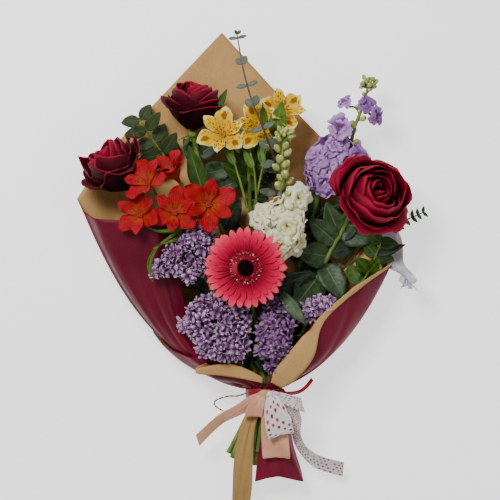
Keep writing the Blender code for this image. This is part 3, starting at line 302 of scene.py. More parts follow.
def gerbera_finish():
    """Deep rose-red near the eye, paling to coral at the tips, with fine streaks along each petal."""
    petal = Finish("gerbera_petal", 0.65, 0.1)
    u, _ = petal.across()
    streak = petal.noise(40.0, 3.0, 0.6, "UV", (3.0, 0.25, 1.0))
    inputs = {0: petal.place(), 1: GERBERA_CENTRE}
    reach = petal.add("VectorMath", inputs, "Value", operation="DISTANCE")
    petal.colour(petal.ramp(
        petal.span(reach + (streak - 0.5) * 0.010, 0.014, 0.045),
        (0.0, (0.13, 0.0002, 0.008)), (0.30, (0.40, 0.0003, 0.028)),
        (0.62, (0.66, 0.001, 0.060)), (0.84, (0.82, 0.020, 0.095)), (1.0, (0.92, 0.12, 0.16)),
    ))
    petal.paint(petal.span(abs(u - 0.5), 0.36, 0.5, 0.0, 0.30), (0.86, 0.06, 0.12))
    petal.shade(0.25, (0.45, 0.001, 0.035))
    petal.bump((u * 32.0).maths("SINE"), 0.35, 0.0003)
    return petal.material


def disc_finish():
    disc = Finish("gerbera_disc", 0.9, 0.05)
    cells = disc.cells(disc.place(), 900.0)
    disc.colour(disc.mix(disc.span(cells, 0.2, 0.7), (0.001, 0.0004, 0.0004), (0.010, 0.001, 0.002)))
    disc.bump(cells, 0.8, 0.0006)
    return disc.material


def filament_finish():
    thread = Finish("gerbera_filaments", 0.6)
    tone = thread.span(thread.attribute("tint"), 0.0, 1.0)
    stops = (0.0, (0.33, 0.01, 0.03)), (0.6, (0.62, 0.06, 0.1)), (1.0, (0.92, 0.36, 0.34))
    thread.colour(thread.ramp(tone, *stops))
    return thread.material


def dashes(petal, u, v, across, along, fill):
    """Short dark strokes that run along a petal."""
    shifted = petal.add("CombineXYZ", {0: u * across, 1: v * along, 2: petal.attribute("tint")})
    return petal.span(petal.cells(shifted, 1.0, 0.75), fill, fill * 0.6)


def yellow_finish():
    petal = Finish("yellow_petal", 0.6, 0.15)
    u, v = petal.across()
    inner = petal.attribute("inner")
    petal.colour(petal.ramp(
        v + petal.noise(12.0, 2.0, 0.5, "UV") * 0.15,
        (0.0, (0.26, 0.24, 0.01)), (0.25, (0.68, 0.37, 0.0)), (0.80, (0.76, 0.45, 0.001)),
        (0.92, (0.82, 0.60, 0.04)), (1.0, (0.86, 0.72, 0.26)),
    ))
    edge = abs(u - 0.5)
    petal.paint(petal.span(edge, 0.37, 0.49, 0.0, 0.8), (0.86, 0.72, 0.28))
    blotch = (edge * 4.4) ** 2.0 + ((v - 0.70) * 4.6) ** 2.0 + petal.noise(14.0, 3.0, 0.7, "UV") * 0.9
    blotch = petal.span(blotch, 1.2, 0.7) * (inner * -1.0 + 1.0)
    petal.paint(blotch * 0.8, (0.15, 0.005, 0.003))
    marks = dashes(petal, u, v, 8.0, 6.5, 0.42) * petal.span(v, 0.25, 0.4)
    petal.paint(marks * petal.span(inner, 0.0, 1.0, 0.55, 1.0), (0.13, 0.012, 0.004))
    petal.bump(petal.noise(30.0, 2.0, 0.5, "UV", (3.0, 0.3, 1.0)), 0.25, 0.0004)
    return petal.material


def red_finish():
    petal = Finish("red_petal", 0.6, 0.12)
    u, v = petal.across()
    inner = petal.attribute("inner")
    streak = petal.noise(26.0, 3.0, 0.6, "UV", (3.5, 0.35, 1.0))
    petal.colour(petal.mix(petal.span(streak, 0.35, 0.7), (0.17, 0.0012, 0.003), (0.54, 0.006, 0.007)))
    tone = petal.span(petal.attribute("tint"), 0.0, 1.0)
    petal.paint(0.4, petal.mix(tone, (0.40, 0.005, 0.010), (0.56, 0.012, 0.036)))
    throat = petal.span(v, 0.62, 0.2) * petal.span(inner, 0.0, 1.0, 0.4, 1.0)
    petal.paint(throat * 0.42, (0.74, 0.20, 0.024))
    lines = petal.span((u * 58.0 + streak * 6.0).maths("SINE"), 0.45, 0.95, 0.0, 0.55)
    petal.paint(lines, (0.11, 0.0008, 0.002))
    marks = dashes(petal, u, v, 9.0, 3.2, 0.34) * petal.span(v, 0.2, 0.35)
    petal.paint(marks * petal.span(inner, 0.0, 1.0, 0.45, 1.0), (0.10, 0.004, 0.006))
    petal.bump(streak, 0.3, 0.0005)
    return petal.material


def ruffled_finish(name, deep, pale, throat, sheen=0.0):
    petal = Finish(name, 0.6, 0.25, sheen)
    _, v = petal.across()
    veins = petal.noise(22.0, 3.0, 0.6, "UV", (3.0, 0.5, 1.0))
    # From the throat at each petal's foot through the deep tone to the pale tip: partly the petal's own
    # colour, partly painted shade towards the foot and painted highlight on the tips.
    petal.colour(petal.ramp(v + (veins - 0.5) * 0.4, (0.0, throat), (0.4, deep), (1.0, pale)))
    # Darkened by each piece's tint: random tone on most florets, painted shade on the stock cores and the
    # centre lilac head.
    petal.shade(0.75, deep)
    petal.bump(veins, 0.4, 0.0004)
    return petal.material


def leaf_finish(name, dark, light, rib, roughness=0.45, ribs=8.0):
    """A leaf with a pale midrib and side veins that slant towards its tip."""
    leaf = Finish(name, roughness, 0.28)
    u, v = leaf.across()
    edge = abs(u - 0.5)
    saw = abs((v * ribs - edge * (ribs * 0.55)).maths("FRACT") - 0.5)
    side = leaf.span(saw, 0.07, 0.0)
    middle = leaf.span(edge, 0.035, 0.012)
    leaf.colour(leaf.mix(leaf.span(leaf.noise(160.0, 3.0), 0.3, 0.7), dark, light))
    leaf.shade(0.6, dark)
    leaf.paint(side * 0.35, rib)
    leaf.paint(middle * 0.75, rib)
    leaf.bump(side * -0.6 + middle * -1.0, 0.5, 0.0006)
    leaf.bump(leaf.noise(500.0, 2.0), 0.15, 0.0002)
    return leaf.material


def clouded_finish(name, roughness, specular, noise, high, dark, light, strength, distance):
    """Two tones in a cloud of noise, which also shapes the surface."""
    made = Finish(name, roughness, specular)
    cloud = made.noise(**noise)
    made.colour(made.mix(made.span(cloud, 0.35, high), dark, light))
    made.bump(cloud, strength, distance)
    return made


def stem_finish(name, green, pale):
    grain = {"scale": 60.0, "rough": 0.6, "stretch": (3.0, 0.5, 3.0)}
    return clouded_finish(name, 0.5, 0.4, grain, 0.7, green, pale, 0.3, 0.0004).material


def satin_finish(name, shade, light):
    satin = Finish(name, 0.4, 0.35, 0.06)
    u, _ = satin.across()
    thread = satin.noise(120.0, 2.0, 0.5, "UV", (1.0, 0.06, 1.0))
    satin.colour(satin.mix(satin.span(thread + satin.noise(45.0, 2.0), 0.7, 1.3), shade, light))
    hem = satin.span(abs(u - 0.5), 0.44, 0.47)
    satin.bump(hem * 1.5 + thread, 0.3, 0.0002)
    return satin.material


def printed_finish():
    """White satin with a scatter of small red hearts and pink dots in its own even layout."""
    satin = Finish("printed_satin", 0.42, 0.5, 0.25)
    u, v = satin.across()
    lanes = u * 5.0
    lane = lanes.maths("FLOOR")
    rows = v * 4.6 + lane * 0.5
    x = (lanes.maths("FRACT") - 0.5) * 4.0
    y = (rows.maths("FRACT") - 0.5) * -4.6
    square = x * x + y * y - 1.0
    heart = satin.span(square * square * square - x * x * (y * y * y), 0.15, -0.05)
    cell = satin.add("CombineXYZ", {0: lane, 1: rows.maths("FLOOR"), 2: 0.5})
    chance = satin.add("TexWhiteNoise", {"Vector": cell}, "Value")
    spots = satin.add("CombineXYZ", {0: lanes, 1: rows * 1.6, 2: 0.0})
    weave = satin.noise(120.0, 2.0, 0.5, "UV", (1.0, 0.08, 1.0))
    satin.colour(satin.mix(satin.span(weave, 0.3, 0.7), (0.66, 0.60, 0.60), (0.83, 0.79, 0.78)))
    satin.paint(satin.span(satin.cells(spots, 3.1), 0.17, 0.12, 0.0, 0.8), (0.42, 0.03, 0.06))
    red = satin.mix(satin.span(chance, 0.3, 1.0), (0.17, 0.003, 0.012), (0.55, 0.05, 0.09))
    satin.paint(heart * satin.span(chance, 0.22, 0.24), red)
    satin.bump(weave, 0.3, 0.0002)
    return satin.material


def tissue_finish():
    crumple = {"scale": 60.0, "detail": 4.0, "rough": 0.6}
    tones = (0.42, 0.39, 0.46), (0.72, 0.69, 0.76)
    tissue = clouded_finish("tissue", 0.85, 0.2, crumple, 0.7, *tones, 0.6, 0.0015)
    tissue.put("Subsurface Weight", 0.1)
    tissue.put("Subsurface Radius", (0.004, 0.002, 0.001))
    tissue.put("Subsurface Scale", 1.0)
    return tissue.material


def twine_finish():
    fibres = {"scale": 600.0, "detail": 2.0}
    tones = (0.045, 0.008, 0.010), (0.14, 0.045, 0.035)
    return clouded_finish("twine", 0.8, 0.2, fibres, 0.65, *tones, 0.6, 0.0004).material


KRAFT = kraft_finish("kraft_paper", (0.60, 0.355, 0.135), (0.47, 0.265, 0.092))
SHADED_KRAFT = kraft_finish("kraft_tail_paper", (0.46, 0.285, 0.10), (0.36, 0.21, 0.07))
BURGUNDY = burgundy_finish()
ROSE = rose_finish()
GERBERA = gerbera_finish()
DISC = disc_finish()
FILAMENT = filament_finish()
YELLOW = yellow_finish()
RED = red_finish()
WHITE = ruffled_finish("white_petal", (0.72, 0.68, 0.36), (0.94, 0.90, 0.70), (0.42, 0.46, 0.06))
PURPLE = ruffled_finish("purple_petal", (0.20, 0.065, 0.29), (0.68, 0.42, 0.76), (0.26, 0.16, 0.14))
LILAC = ruffled_finish("lilac_petal", (0.20, 0.075, 0.22), (0.84, 0.60, 0.80), (0.05, 0.015, 0.05))
LILAC_SHADOW = ruffled_finish(
    "lilac_shadow", (0.006, 0.006, 0.005), (0.014, 0.011, 0.012), (0.004, 0.003, 0.004), 0.2
)
ROSE_LEAF = leaf_finish("rose_leaf", (0.013, 0.034, 0.009), (0.052, 0.095, 0.034), (0.11, 0.17, 0.06))
GREEN_LEAF = leaf_finish(
    "green_leaf", (0.018, 0.050, 0.004), (0.058, 0.120, 0.010), (0.14, 0.24, 0.03), 0.48, 5.0
)
BRACT = leaf_finish("bract", (0.045, 0.105, 0.006), (0.12, 0.20, 0.02), (0.22, 0.32, 0.05), 0.5, 4.0)
OLIVE_LEAF = leaf_finish(
    "olive_leaf", (0.024, 0.042, 0.012), (0.055, 0.088, 0.026), (0.10, 0.14, 0.05), 0.5
)
# Near-black green: the dark twig's own leaves, and the filler leaves deep in the bouquet, where the tone
# is painted shade.
DARK_LEAF = leaf_finish("dark_leaf", (0.008, 0.018, 0.009), (0.022, 0.040, 0.018), (0.05, 0.08, 0.04))
GREY_LEAF = leaf_finish(
    "grey_leaf", (0.072, 0.100, 0.064), (0.135, 0.168, 0.115), (0.20, 0.24, 0.17), 0.6, 5.0
)
GREEN_STEM = stem_finish("green_stem", (0.065, 0.13, 0.012), (0.19, 0.26, 0.045))
BUD_GREEN = stem_finish("bud_green", (0.20, 0.25, 0.05), (0.60, 0.58, 0.16))
DARK_STEM = stem_finish("dark_stem", (0.030, 0.022, 0.014), (0.075, 0.055, 0.035))
RED_STEM = stem_finish("red_stem", (0.060, 0.026, 0.018), (0.115, 0.055, 0.040))
PEACH = satin_finish("peach_satin", (0.54, 0.24, 0.135), (0.80, 0.44, 0.27))
RED_SATIN = satin_finish("red_satin", (0.15, 0.001, 0.008), (0.38, 0.002, 0.022))
PRINTED = printed_finish()
TISSUE = tissue_finish()
TWINE = twine_finish()


# ---------------------------------------------------------------- pieces


def deselect():
    for obj in bpy.context.selected_objects:
        obj.select_set(False)


def apply(obj, kind, **settings):
    """Adds a modifier with these settings and applies it."""
    modifier = obj.modifiers.new(kind.lower(), kind)
    for key, value in settings.items():
        setattr(modifier, key, value)
    bpy.context.view_layer.objects.active = obj
    bpy.ops.object.modifier_apply(modifier=modifier.name)


def mark(obj, **values):
    """Gives every point of the piece the same value of each attribute."""
    for name, value in values.items():
        layer = obj.data.attributes.get(name) or obj.data.attributes.new(name, "FLOAT", "POINT")
        layer.data.foreach_set("value", [value] * len(obj.data.vertices))


def smoothed(obj, tint):
    obj.data.shade_smooth()
    mark(obj, tint=tint)
    return obj


def skin(name, across, along, place, thick, material, back=None, tint=0.5):
    """A thin closed piece: a grid laid by place(u, v), with u from -1 to 1 and v from 0 to 1."""
    deselect()
    bpy.ops.mesh.primitive_grid_add(x_subdivisions=across, y_subdivisions=along, size=2)
    obj = bpy.context.object
    obj.name = name
    for vert in obj.data.vertices:
        vert.co = place(vert.co.x, (vert.co.y + 1) / 2)
    obj.data.materials.append(material)
    if back:
        obj.data.materials.append(back)
    shift = 1 if back else 0
    apply(obj, "SOLIDIFY", thickness=thick, offset=0.0, material_offset=shift, material_offset_rim=shift)
    return smoothed(obj, tint)


def stalk(name, points, radii, material, resolution=1):
    """A stem through the points with a radius at each."""
    line = bpy.data.curves.new(name, "CURVE")
    line.dimensions = "3D"
    line.bevel_depth = 1.0
    line.bevel_resolution = resolution
    line.use_fill_caps = True
    spline = line.splines.new("POLY")
    spline.points.add(len(points) - 1)
    for point, place, radius in zip(spline.points, points, radii):
        point.co = (*place, 1.0)
        point.radius = radius
    obj = bpy.data.objects.new(name, line)
    bpy.context.scene.collection.objects.link(obj)
    deselect()
    obj.select_set(True)
    bpy.context.view_layer.objects.active = obj
    bpy.ops.object.convert(target="MESH")
    obj = bpy.context.object
    obj.data.materials.clear()
    obj.data.materials.append(material)
    return smoothed(obj, 0.5)


def bead(name, centre, radii, material, axis=UP, segments=10, rings=7, tint=0.5):
    """A rounded body with these three radii, its length along the axis."""
    deselect()
    bpy.ops.mesh.primitive_uv_sphere_add(segments=segments, ring_count=rings, radius=1.0)
    obj = bpy.context.object
    obj.name = name
    obj.data.transform(Matrix.Translation(centre) @ upright(axis) @ Matrix.Diagonal((*radii, 1.0)))
    obj.data.materials.append(material)
    return smoothed(obj, tint)


def copied(source, matrix, tint):
    """A copy with its own mesh, set in place by the matrix."""
    obj = source.copy()
    obj.data = source.data.copy()
    obj.data.transform(matrix)
    bpy.context.scene.collection.objects.link(obj)
    mark(obj, tint=tint)
    return obj


def join(name, pieces):
    deselect()
    for piece in pieces:
        piece.select_set(True)
    bpy.context.view_layer.objects.active = pieces[0]
    bpy.ops.object.join()
    obj = bpy.context.object
    obj.name = name
    obj.data.name = name
    return obj


def drop(*sources):
    for source in sources:
        bpy.data.objects.remove(source)


def stands_for(obj, slot, node):
    """The piece rides on the bouquet and takes the place of this solid."""
    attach(obj, "root")
    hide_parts(node)


# ---------------------------------------------------------------- camera, floor and light

FLOOR_LEVEL = -0.0004
FLOOR_SIZE = 8.0
CAMERA_HEIGHT = 2.5
VIEW_WIDTH = 0.55
SENSOR_WIDTH = 36
# Each lamp: its place, size and power
LAMPS = {
    "key": ((-0.55, 0.75, 1.5), 0.55, 27.0),
    "fill": ((0.9, -0.5, 1.6), 1.2, 5.0),
}


def studio():
    deselect()
    bpy.ops.mesh.primitive_plane_add(size=FLOOR_SIZE, location=(0, 0, FLOOR_LEVEL))
    floor = bpy.context.object
    floor.name = "floor"
    pale = Finish("floor", 0.9, 0.1)
    pale.colour(pale.mix(pale.span(pale.noise(3.0), 0.3, 0.7), (0.86, 0.86, 0.86), (0.89, 0.89, 0.89)))
    pale.put("Emission Color", (1.0, 1.0, 1.0, 1.0))
    pale.put("Emission Strength", 1.1)
    floor.data.materials.append(pale.material)
    world = bpy.data.worlds.new("studio")
    bpy.context.scene.world = world
    world.use_nodes = True
    sky = world.node_tree.nodes["Background"].inputs
    sky["Color"].default_value = (1.0, 0.985, 0.97, 1.0)
    sky["Strength"].default_value = 0.30
    for name, (place, size, power) in LAMPS.items():
        light = bpy.data.lights.new(name, "AREA")
        light.size = size
        light.energy = power
        lamp = bpy.data.objects.new(name, light)
        lamp.location = place
        lamp.rotation_euler = (-Vector(place)).to_track_quat("-Z", "Y").to_euler()
        bpy.context.scene.collection.objects.link(lamp)
    camera = bpy.data.objects.new("camera", bpy.data.cameras.new("camera"))
    camera.data.lens = SENSOR_WIDTH * CAMERA_HEIGHT / VIEW_WIDTH
    camera.data.clip_end = 20
    camera.location = (-0.0011, 0.0209, CAMERA_HEIGHT)
    bpy.context.scene.collection.objects.link(camera)
    bpy.context.scene.camera = camera


studio()


# ---------------------------------------------------------------- outlines and leaves


def outline(where, blunt):
    """Half-widths of a petal or leaf: widest at where, and rounder at the tip for a lower blunt."""
    power = math.log(0.5) / math.log(where)
    return lambda v: max(math.sin(math.pi * min(max(v, 0.0), 1.0) ** power), 0.0) ** blunt


OVAL = outline(0.42, 0.85)
ROUND = outline(0.50, 0.62)
LANCE = outline(0.36, 1.05)
STRAP = outline(0.45, 0.55)
HEART = outline(0.34, 0.80)


def laid(root, along, facing, length, half, width, bend=0.0, fold=0.0, wave=0.0, phase=0.0):
    """Places for a leaf or petal that grows from root and bends towards facing."""
    along = Vector(along).normalized()
    facing = Vector(facing)
    facing = (facing - along * facing.dot(along)).normalized()
    side = along.cross(facing)
    bend = bend if abs(bend) > 0.001 else 0.001

    def place(u, v):
        turn = bend * v
        point = root + (along * math.sin(turn) + facing * (1 - math.cos(turn))) * (length / bend)
        up = facing * math.cos(turn) - along * math.sin(turn)
        wide = half * (0.05 + 0.95 * width(v))
        lift = fold * wide * abs(u) ** 1.4 + wave * half * math.sin(phase + v * 15 + u) * u * u * v
        return point + side * (u * wide) + up * lift

    return place


PAPERS = []
LEAF_TRIES = 11
LEAF_SWING = math.radians(17)
LEAF_RISE = 0.09
# Where a leaf is tested against the paper: its tip, its middle and both its edges
LEAF_TESTS = ((0, 1), (0, 0.5), (-1, 0.6), (1, 0.6))


def through_paper(start, end):
    run = end - start
    return any(tree.ray_cast(start, run.normalized(), run.length)[0] for tree in PAPERS)


def leaf(root, along, facing, length, half, width, material, wave=0.10, **shape):
    """A leaf, turned and raised step by step until it stays inside the paper."""
    rng = random.Random(root.x * 7000 + root.y * 3000 + length * 5000)
    along = Vector(along).normalized()
    phase = rng.uniform(0, 6)
    for attempt in range(LEAF_TRIES):
        swing = LEAF_SWING * ((attempt + 1) // 2) * (1 if attempt % 2 else -1)
        turned = Matrix.Rotation(swing, 3, "Z") @ along + Vector((0, 0, LEAF_RISE * attempt))
        place = laid(root, turned, facing, length, half, width, wave=wave, phase=phase, **shape)
        if not any(through_paper(root, place(u, v)) for u, v in LEAF_TESTS):
            break
    return skin("leaf", 6, 12, place, LEAF_THICK, material, tint=rng.random())


# ---------------------------------------------------------------- paper wrap

NECK = Vector((0.014, -0.133, 0.027))
BACK_RING = 0.0170
OUTER_RING = 0.0184
TIE_RING = 0.0193
COLLAR = (-0.141, -0.126)
OUTER_COLLAR = (-0.141, -0.1276)
SHEET_GAP = 0.0031
LINE_ROWS = 12

# Lines of the back sheet from the neck to its rim, from the front-left edge round the back
# to the right edge: the angle at the neck, the point that the line bends to, its rim, and
# the share of the line at which the outer sheet ends
BACK_LINES = (
    (141, (-88, -101, 48), (-73, 58, 66), 0.30),
    (150, (-104, -106, 54), (-102, 53, 83), 0.34),
    (160, (-108, -110, 42), (-134, 52, 79), 0.39),
    (168, (-110, -112, 32), (-167, 55, 66), 0.43),
    (177, (-109, -112, 24), (-182, 62, 52), 0.47),
    (187, (-106, -110, 14), (-188, 77, 38), 0.52),
    (200, (-98, -106, 4), (-171, 108, 15), 0.58),
    (214, (-84, -100, -4), (-144, 142, 5), 0.64),
    (232, (-56, -96, -8), (-88, 201, 0), 0.72),
    (252, (-20, -95, -8), (-32, 260, 0), 0.76),
    (284, (22, -95, -8), (20, 203, 0), 0.76),
    (312, (62, -97, -6), (72, 150, 4), 0.78),
    (336, (88, -98, 6), (104, 114, 12), 0.82),
    (352, (98, -98, 18), (132, 80, 25), 0.88),
    (366, (100, -96, 28), (148, 15, 45), 0.95),
)
# The outer sheet's own lines, in front of the back sheet's left and right edges: the angle
# at the neck, the point that the line bends to, its rim, and where its turned-out lip ends
OUTER_LEFT_LINES = (
    (98, (14, -122, 50), (13, -118, 52), (12, -122, 54)),
    (112, (-2, -118, 57), (-12, -104, 60), (-11, -117, 61)),
    (126, (-22, -119, 57), (-32, -102, 61), (-33, -114, 62)),
    (140, (-50, -116, 54), (-56, -107, 56), (-60, -111, 56)),
)
OUTER_RIGHT_LINES = (
    (376, (106, -100, 36), (150, 4, 50), (150.6, 3.5, 49.8)),
    (388, (100, -106, 44), (122, -14, 64), (123.2, -15.4, 63.6)),
    (400, (84, -112, 52), (98, -30, 70), (100.8, -33, 69.5)),
    (414, (66, -118, 56), (71, -52, 71), (77, -58.5, 71.2)),
    (430, (46, -122, 58), (46, -82, 70), (67, -94, 70)),
    (442, (26, -124, 53), (24, -110, 61), (47, -119, 61)),
    (452, (19, -127, 49), (17.5, -122, 52), (33, -127.5, 54)),
)
# Folds of each sheet: where each starts across it, its slant, its width and its height
BACK_FOLDS = (
    (-0.90, 0.02, 0.012, -0.0022), (-0.80, 0.03, 0.02, 0.0020), (-0.66, 0.05, 0.03, -0.0022),
    (-0.50, 0.03, 0.03, 0.0022), (-0.33, 0.04, 0.03, -0.0018), (0.46, -0.03, 0.03, 0.0020),
    (0.60, 0.02, 0.04, -0.0020), (0.82, 0.02, 0.02, 0.0016), (-0.08, 0.02, 0.05, 0.0016),
)
OUTER_FOLDS = (
    (-0.97, 0.01, 0.012, 0.0012), (-0.72, 0.03, 0.02, -0.0016), (0.62, 0.02, 0.02, 0.0018),
    (0.76, 0.03, 0.016, -0.0020), (0.85, 0.03, 0.012, 0.0018), (0.93, 0.02, 0.012, -0.0014),
)
TAIL_FOLDS = ((0.2, 0.1, 0.2, 0.0012), (-0.5, -0.2, 0.15, -0.001))
HANDLE_FOLDS = ((-0.55, 0.1, 0.10, 0.0016), (-0.2, -0.1, 0.08, -0.0018), (0.2, 0.1, 0.10, 0.0014))
# The papers below the tie: the angles at which they leave it, then rows of points across them
TAIL_ANGLES = (136, 122, 108)
TAIL_ROWS = (
    ((-3, -152, 42), (4, -151, 43.5), (11, -151, 43)),
    ((-12, -172, 41), (-3, -171, 43), (5, -170, 42)),
    ((-18, -205, 37), (-9, -205, 39), (2, -205, 38)),
    ((-20, -235, 31), (-11, -235, 33), (1, -235, 32)),
    ((-21, -262, 24), (-12, -262, 26), (-2, -262, 25)),
)
HANDLE_ANGLES = (84, 50, 15, -20, -55)
HANDLE_ROWS = (
    ((17, -158, 44), (30, -158, 41), (38, -158, 28), (35, -158, 14), (24, -158, 5)),
    ((11, -180, 40), (29, -180, 42), (43, -180, 30), (40, -178, 12), (26, -178, 3)),
    ((7, -205, 36), (29, -206, 40), (49, -206, 30), (45, -203, 10), (28, -203, 2)),
    ((4, -231, 31), (28, -225, 37), (56, -231, 27), (50, -226, 8), (30, -224, 1.6)),
)


def ring_point(degrees, radius, y):
    turn = math.radians(degrees)
    return Vector((NECK.x + radius * math.cos(turn), y, NECK.z + radius * math.sin(turn)))


def column(line, radius, top, collar):
    """A line of the sheet: its collar in the tie, then its points up to the rim."""
    start = ring_point(line[0], radius, collar[1])
    points = [ring_point(line[0], radius, collar[0])]
    for step in range(LINE_ROWS + 1):
        share = top * (step / LINE_ROWS) ** 1.25
        left = 1 - share
        points.append(start * left**2 + mm(*line[1]) * (2 * left * share) + mm(*line[2]) * share**2)
    return points


def sheet_curve(before, a, b, after, t):
    """The same curve in the form that the sheets are worked out with."""
    return (
        a + (b - before) * (0.5 * t)
        + (before * 2 - a * 5 + b * 4 - after) * (0.5 * t * t)
        + (a * 3 - before - b * 3 + after) * (0.5 * t**3)
    )


def lofted(columns, straight_rim=False):
    """A smooth sheet through columns of points, as a function of how far across and up."""
    last = len(columns) - 1
    top = len(columns[0]) - 1

    def up(line, share):
        n, rest = span_at(share, top)
        return sheet_curve(*(columns[line][min(max(n + k, 0), top)] for k in (-1, 0, 1, 2)), rest)

    def place(u, v):
        n, rest = span_at((u + 1) / 2, last)
        near = [up(min(max(n + k, 0), last), v) for k in (-1, 0, 1, 2)]
        curved = sheet_curve(*near, rest)
        if straight_rim:
            return between(curved, between(near[1], near[2], rest), ease(v))
        return curved

    return place


def facing_of(place, u, v):
    step = 0.01
    du = place(min(u + step, 1), v) - place(max(u - step, -1), v)
    dv = place(u, min(v + step, 1)) - place(u, max(v - step, 0))
    return du.cross(dv).normalized()


def creased(place, folds, gathers, height, rest):
    """Adds gathers at the neck and long soft folds, and keeps the sheet above the level of rest."""

    def crumpled(u, v):
        point = place(u, v)
        near_neck = ease(v / 0.06) * (1 - ease((v - 0.05) / 0.55))
        push = height * near_neck * (math.sin(u * gathers) + 0.5 * math.sin(u * gathers * 1.73 + 1))
        for where, slant, sharp, depth in folds:
            far = (u - where - slant * v) / sharp
            push += depth * math.exp(-far * far) * ease(v * 3) * (1 - 0.6 * v)
        push += 0.0006 * math.sin(9 * u + 11 * v) * ease(v * 2)
        push += 0.0005 * math.sin(23 * u - 7 * v) * ease(v * 2)
        point += facing_of(place, u, v) * push
        point.z = max(point.z, rest)
        return point

    return crumpled


def hold(sheet):
    """Leaves then stay inside this sheet."""
    points = [vert.co.copy() for vert in sheet.data.vertices]
    PAPERS.append(BVHTree.FromPolygons(points, [tuple(face.vertices) for face in sheet.data.polygons]))


def back_sheet():
    columns = [column(line, BACK_RING, 1.0, COLLAR) for line in BACK_LINES]
    place = creased(lofted(columns, True), BACK_FOLDS, gathers=46, height=0.0010, rest=0.0016)
    sheet = skin("wrap_back_sheet_paper", 140, 70, place, PAPER_THICK, KRAFT, BURGUNDY)
    stands_for(sheet, "kraft_paper", "wrap_back_sheet")
    hold(sheet)


def outer_columns():
    """The outer sheet follows the back sheet, a little outside it, then goes on in front."""
    inner = [column(line, BACK_RING, line[3], COLLAR) for line in BACK_LINES]
    follow = lofted(inner)
    followed = []
    for n, (line, points) in enumerate(zip(BACK_LINES, inner)):
        u = 2 * n / (len(inner) - 1) - 1
        moved = [ring_point(line[0], OUTER_RING, y) for y in OUTER_COLLAR]
        for row in range(2, LINE_ROWS + 2):
            moved.append(points[row] - facing_of(follow, u, row / (LINE_ROWS + 1)) * SHEET_GAP)
        rim = moved[-1]
        ahead = (rim - moved[-2]).normalized()
        followed.append(moved + [rim + ahead * 0.002, rim + ahead * 0.004])
    own = []
    for group in (OUTER_LEFT_LINES, OUTER_RIGHT_LINES):
        drawn = []
        for line in group:
            points = column(line, OUTER_RING, 1.0, OUTER_COLLAR)
            edge = mm(*line[3])
            crest = between(points[-1], edge, 0.30) + (points[-1] - points[-2]).normalized() * 0.0022
            drawn.append(points + [crest + mm(0, 0, 1.5), edge])
        own.append(drawn)
    return own[0] + followed + own[1]


def outer_sheet():
    place = creased(lofted(outer_columns()), OUTER_FOLDS, gathers=70, height=0.0011, rest=0.0004)
    sheet = skin("wrap_outer_sheet_paper", 160, 60, place, PAPER_THICK, KRAFT, BURGUNDY)
    stands_for(sheet, "burgundy_paper", "wrap_outer_sheet")
    hold(sheet)


def below_tie(angles, rows):
    """Columns of points for a paper that comes out below the tie."""
    top = COLLAR[0] - 0.0004
    leaving = [ring_point(angle, OUTER_RING, top) for angle in angles]
    return [[first] + [mm(*row[n]) for row in rows] for n, first in enumerate(leaving)]


def paper_tails():
    """The papers below the tie: a kraft strip in front and a burgundy flare on the right."""
    strip_of_kraft = lofted(below_tie(TAIL_ANGLES, TAIL_ROWS))
    place = creased(strip_of_kraft, TAIL_FOLDS, gathers=8, height=0.0006, rest=0.0)
    tail = skin("kraft_tail_paper", 16, 44, place, PAPER_THICK, SHADED_KRAFT)
    stands_for(tail, "kraft_paper", "kraft_tail")
    flare = lofted(below_tie(HANDLE_ANGLES, HANDLE_ROWS))
    place = creased(flare, HANDLE_FOLDS, gathers=22, height=0.0010, rest=0.0016)
    handle = skin("handle_paper_flare", 44, 36, place, PAPER_THICK, BURGUNDY, BURGUNDY)
    stands_for(handle, "burgundy_paper", "handle_paper")


def tissue_frill():
    """The crumpled tissue that peeps out behind the right edge of the wrap."""
    columns = outer_columns()
    corner = len(OUTER_LEFT_LINES) + len(BACK_LINES) - 1
    seat = smooth([columns[c][-3] for c in (corner - 1, corner, corner + 1)], 8)
    pieces = []
    for layer in range(3):
        lines = []
        for n, root in enumerate(seat):
            share = n / (len(seat) - 1)
            wave = math.sin(n * 1.1 + layer * 2) * 0.0026
            lobe = 1 + 0.12 * math.sin(n * 0.9 + layer)
            middle = mm(15, 2 - 13 * share, 1.5 - layer * 1.2) + Vector((wave * 0.4, 0, wave))
            end = mm(33 * lobe - 9 * share - 5 * layer, 5 - 31 * share, 4 - layer * 1.5)
            end -= Vector((wave * 0.5, -wave * 0.5, wave))
            lines.append([root + mm(1.5, 0, -2), root + middle, root + end])
        pieces.append(skin("tissue", 60, 12, lofted(lines), TISSUE_THICK, TISSUE))
    stands_for(join("tissue_frill_paper", pieces), "tissue", "tissue_frill")


# ---------------------------------------------------------------- ribbons and twine

STRIP_STEPS = 8
# The neck ribbon's three turns: where each lies along the neck and how it leans
NECK_TURNS = ((-0.0046, 0.10), (-0.0014, -0.12), (0.0016, 0.06))
KNOT_ANGLE = 36
TWINE_PATH = (
    (-4.9, -134, 37.9), (-14, -137, 40), (-26, -137.5, 41),
    (-38, -142, 39), (-39, -148, 36), (-30, -154, 33),
)
# The two plies of the twine: the turn from one point to the next, how far each lies from
# the middle, and its radius
TWINE_TWIST = 1.1
PLY_SPREAD = 0.0004
PLY_RADIUS = 0.0005


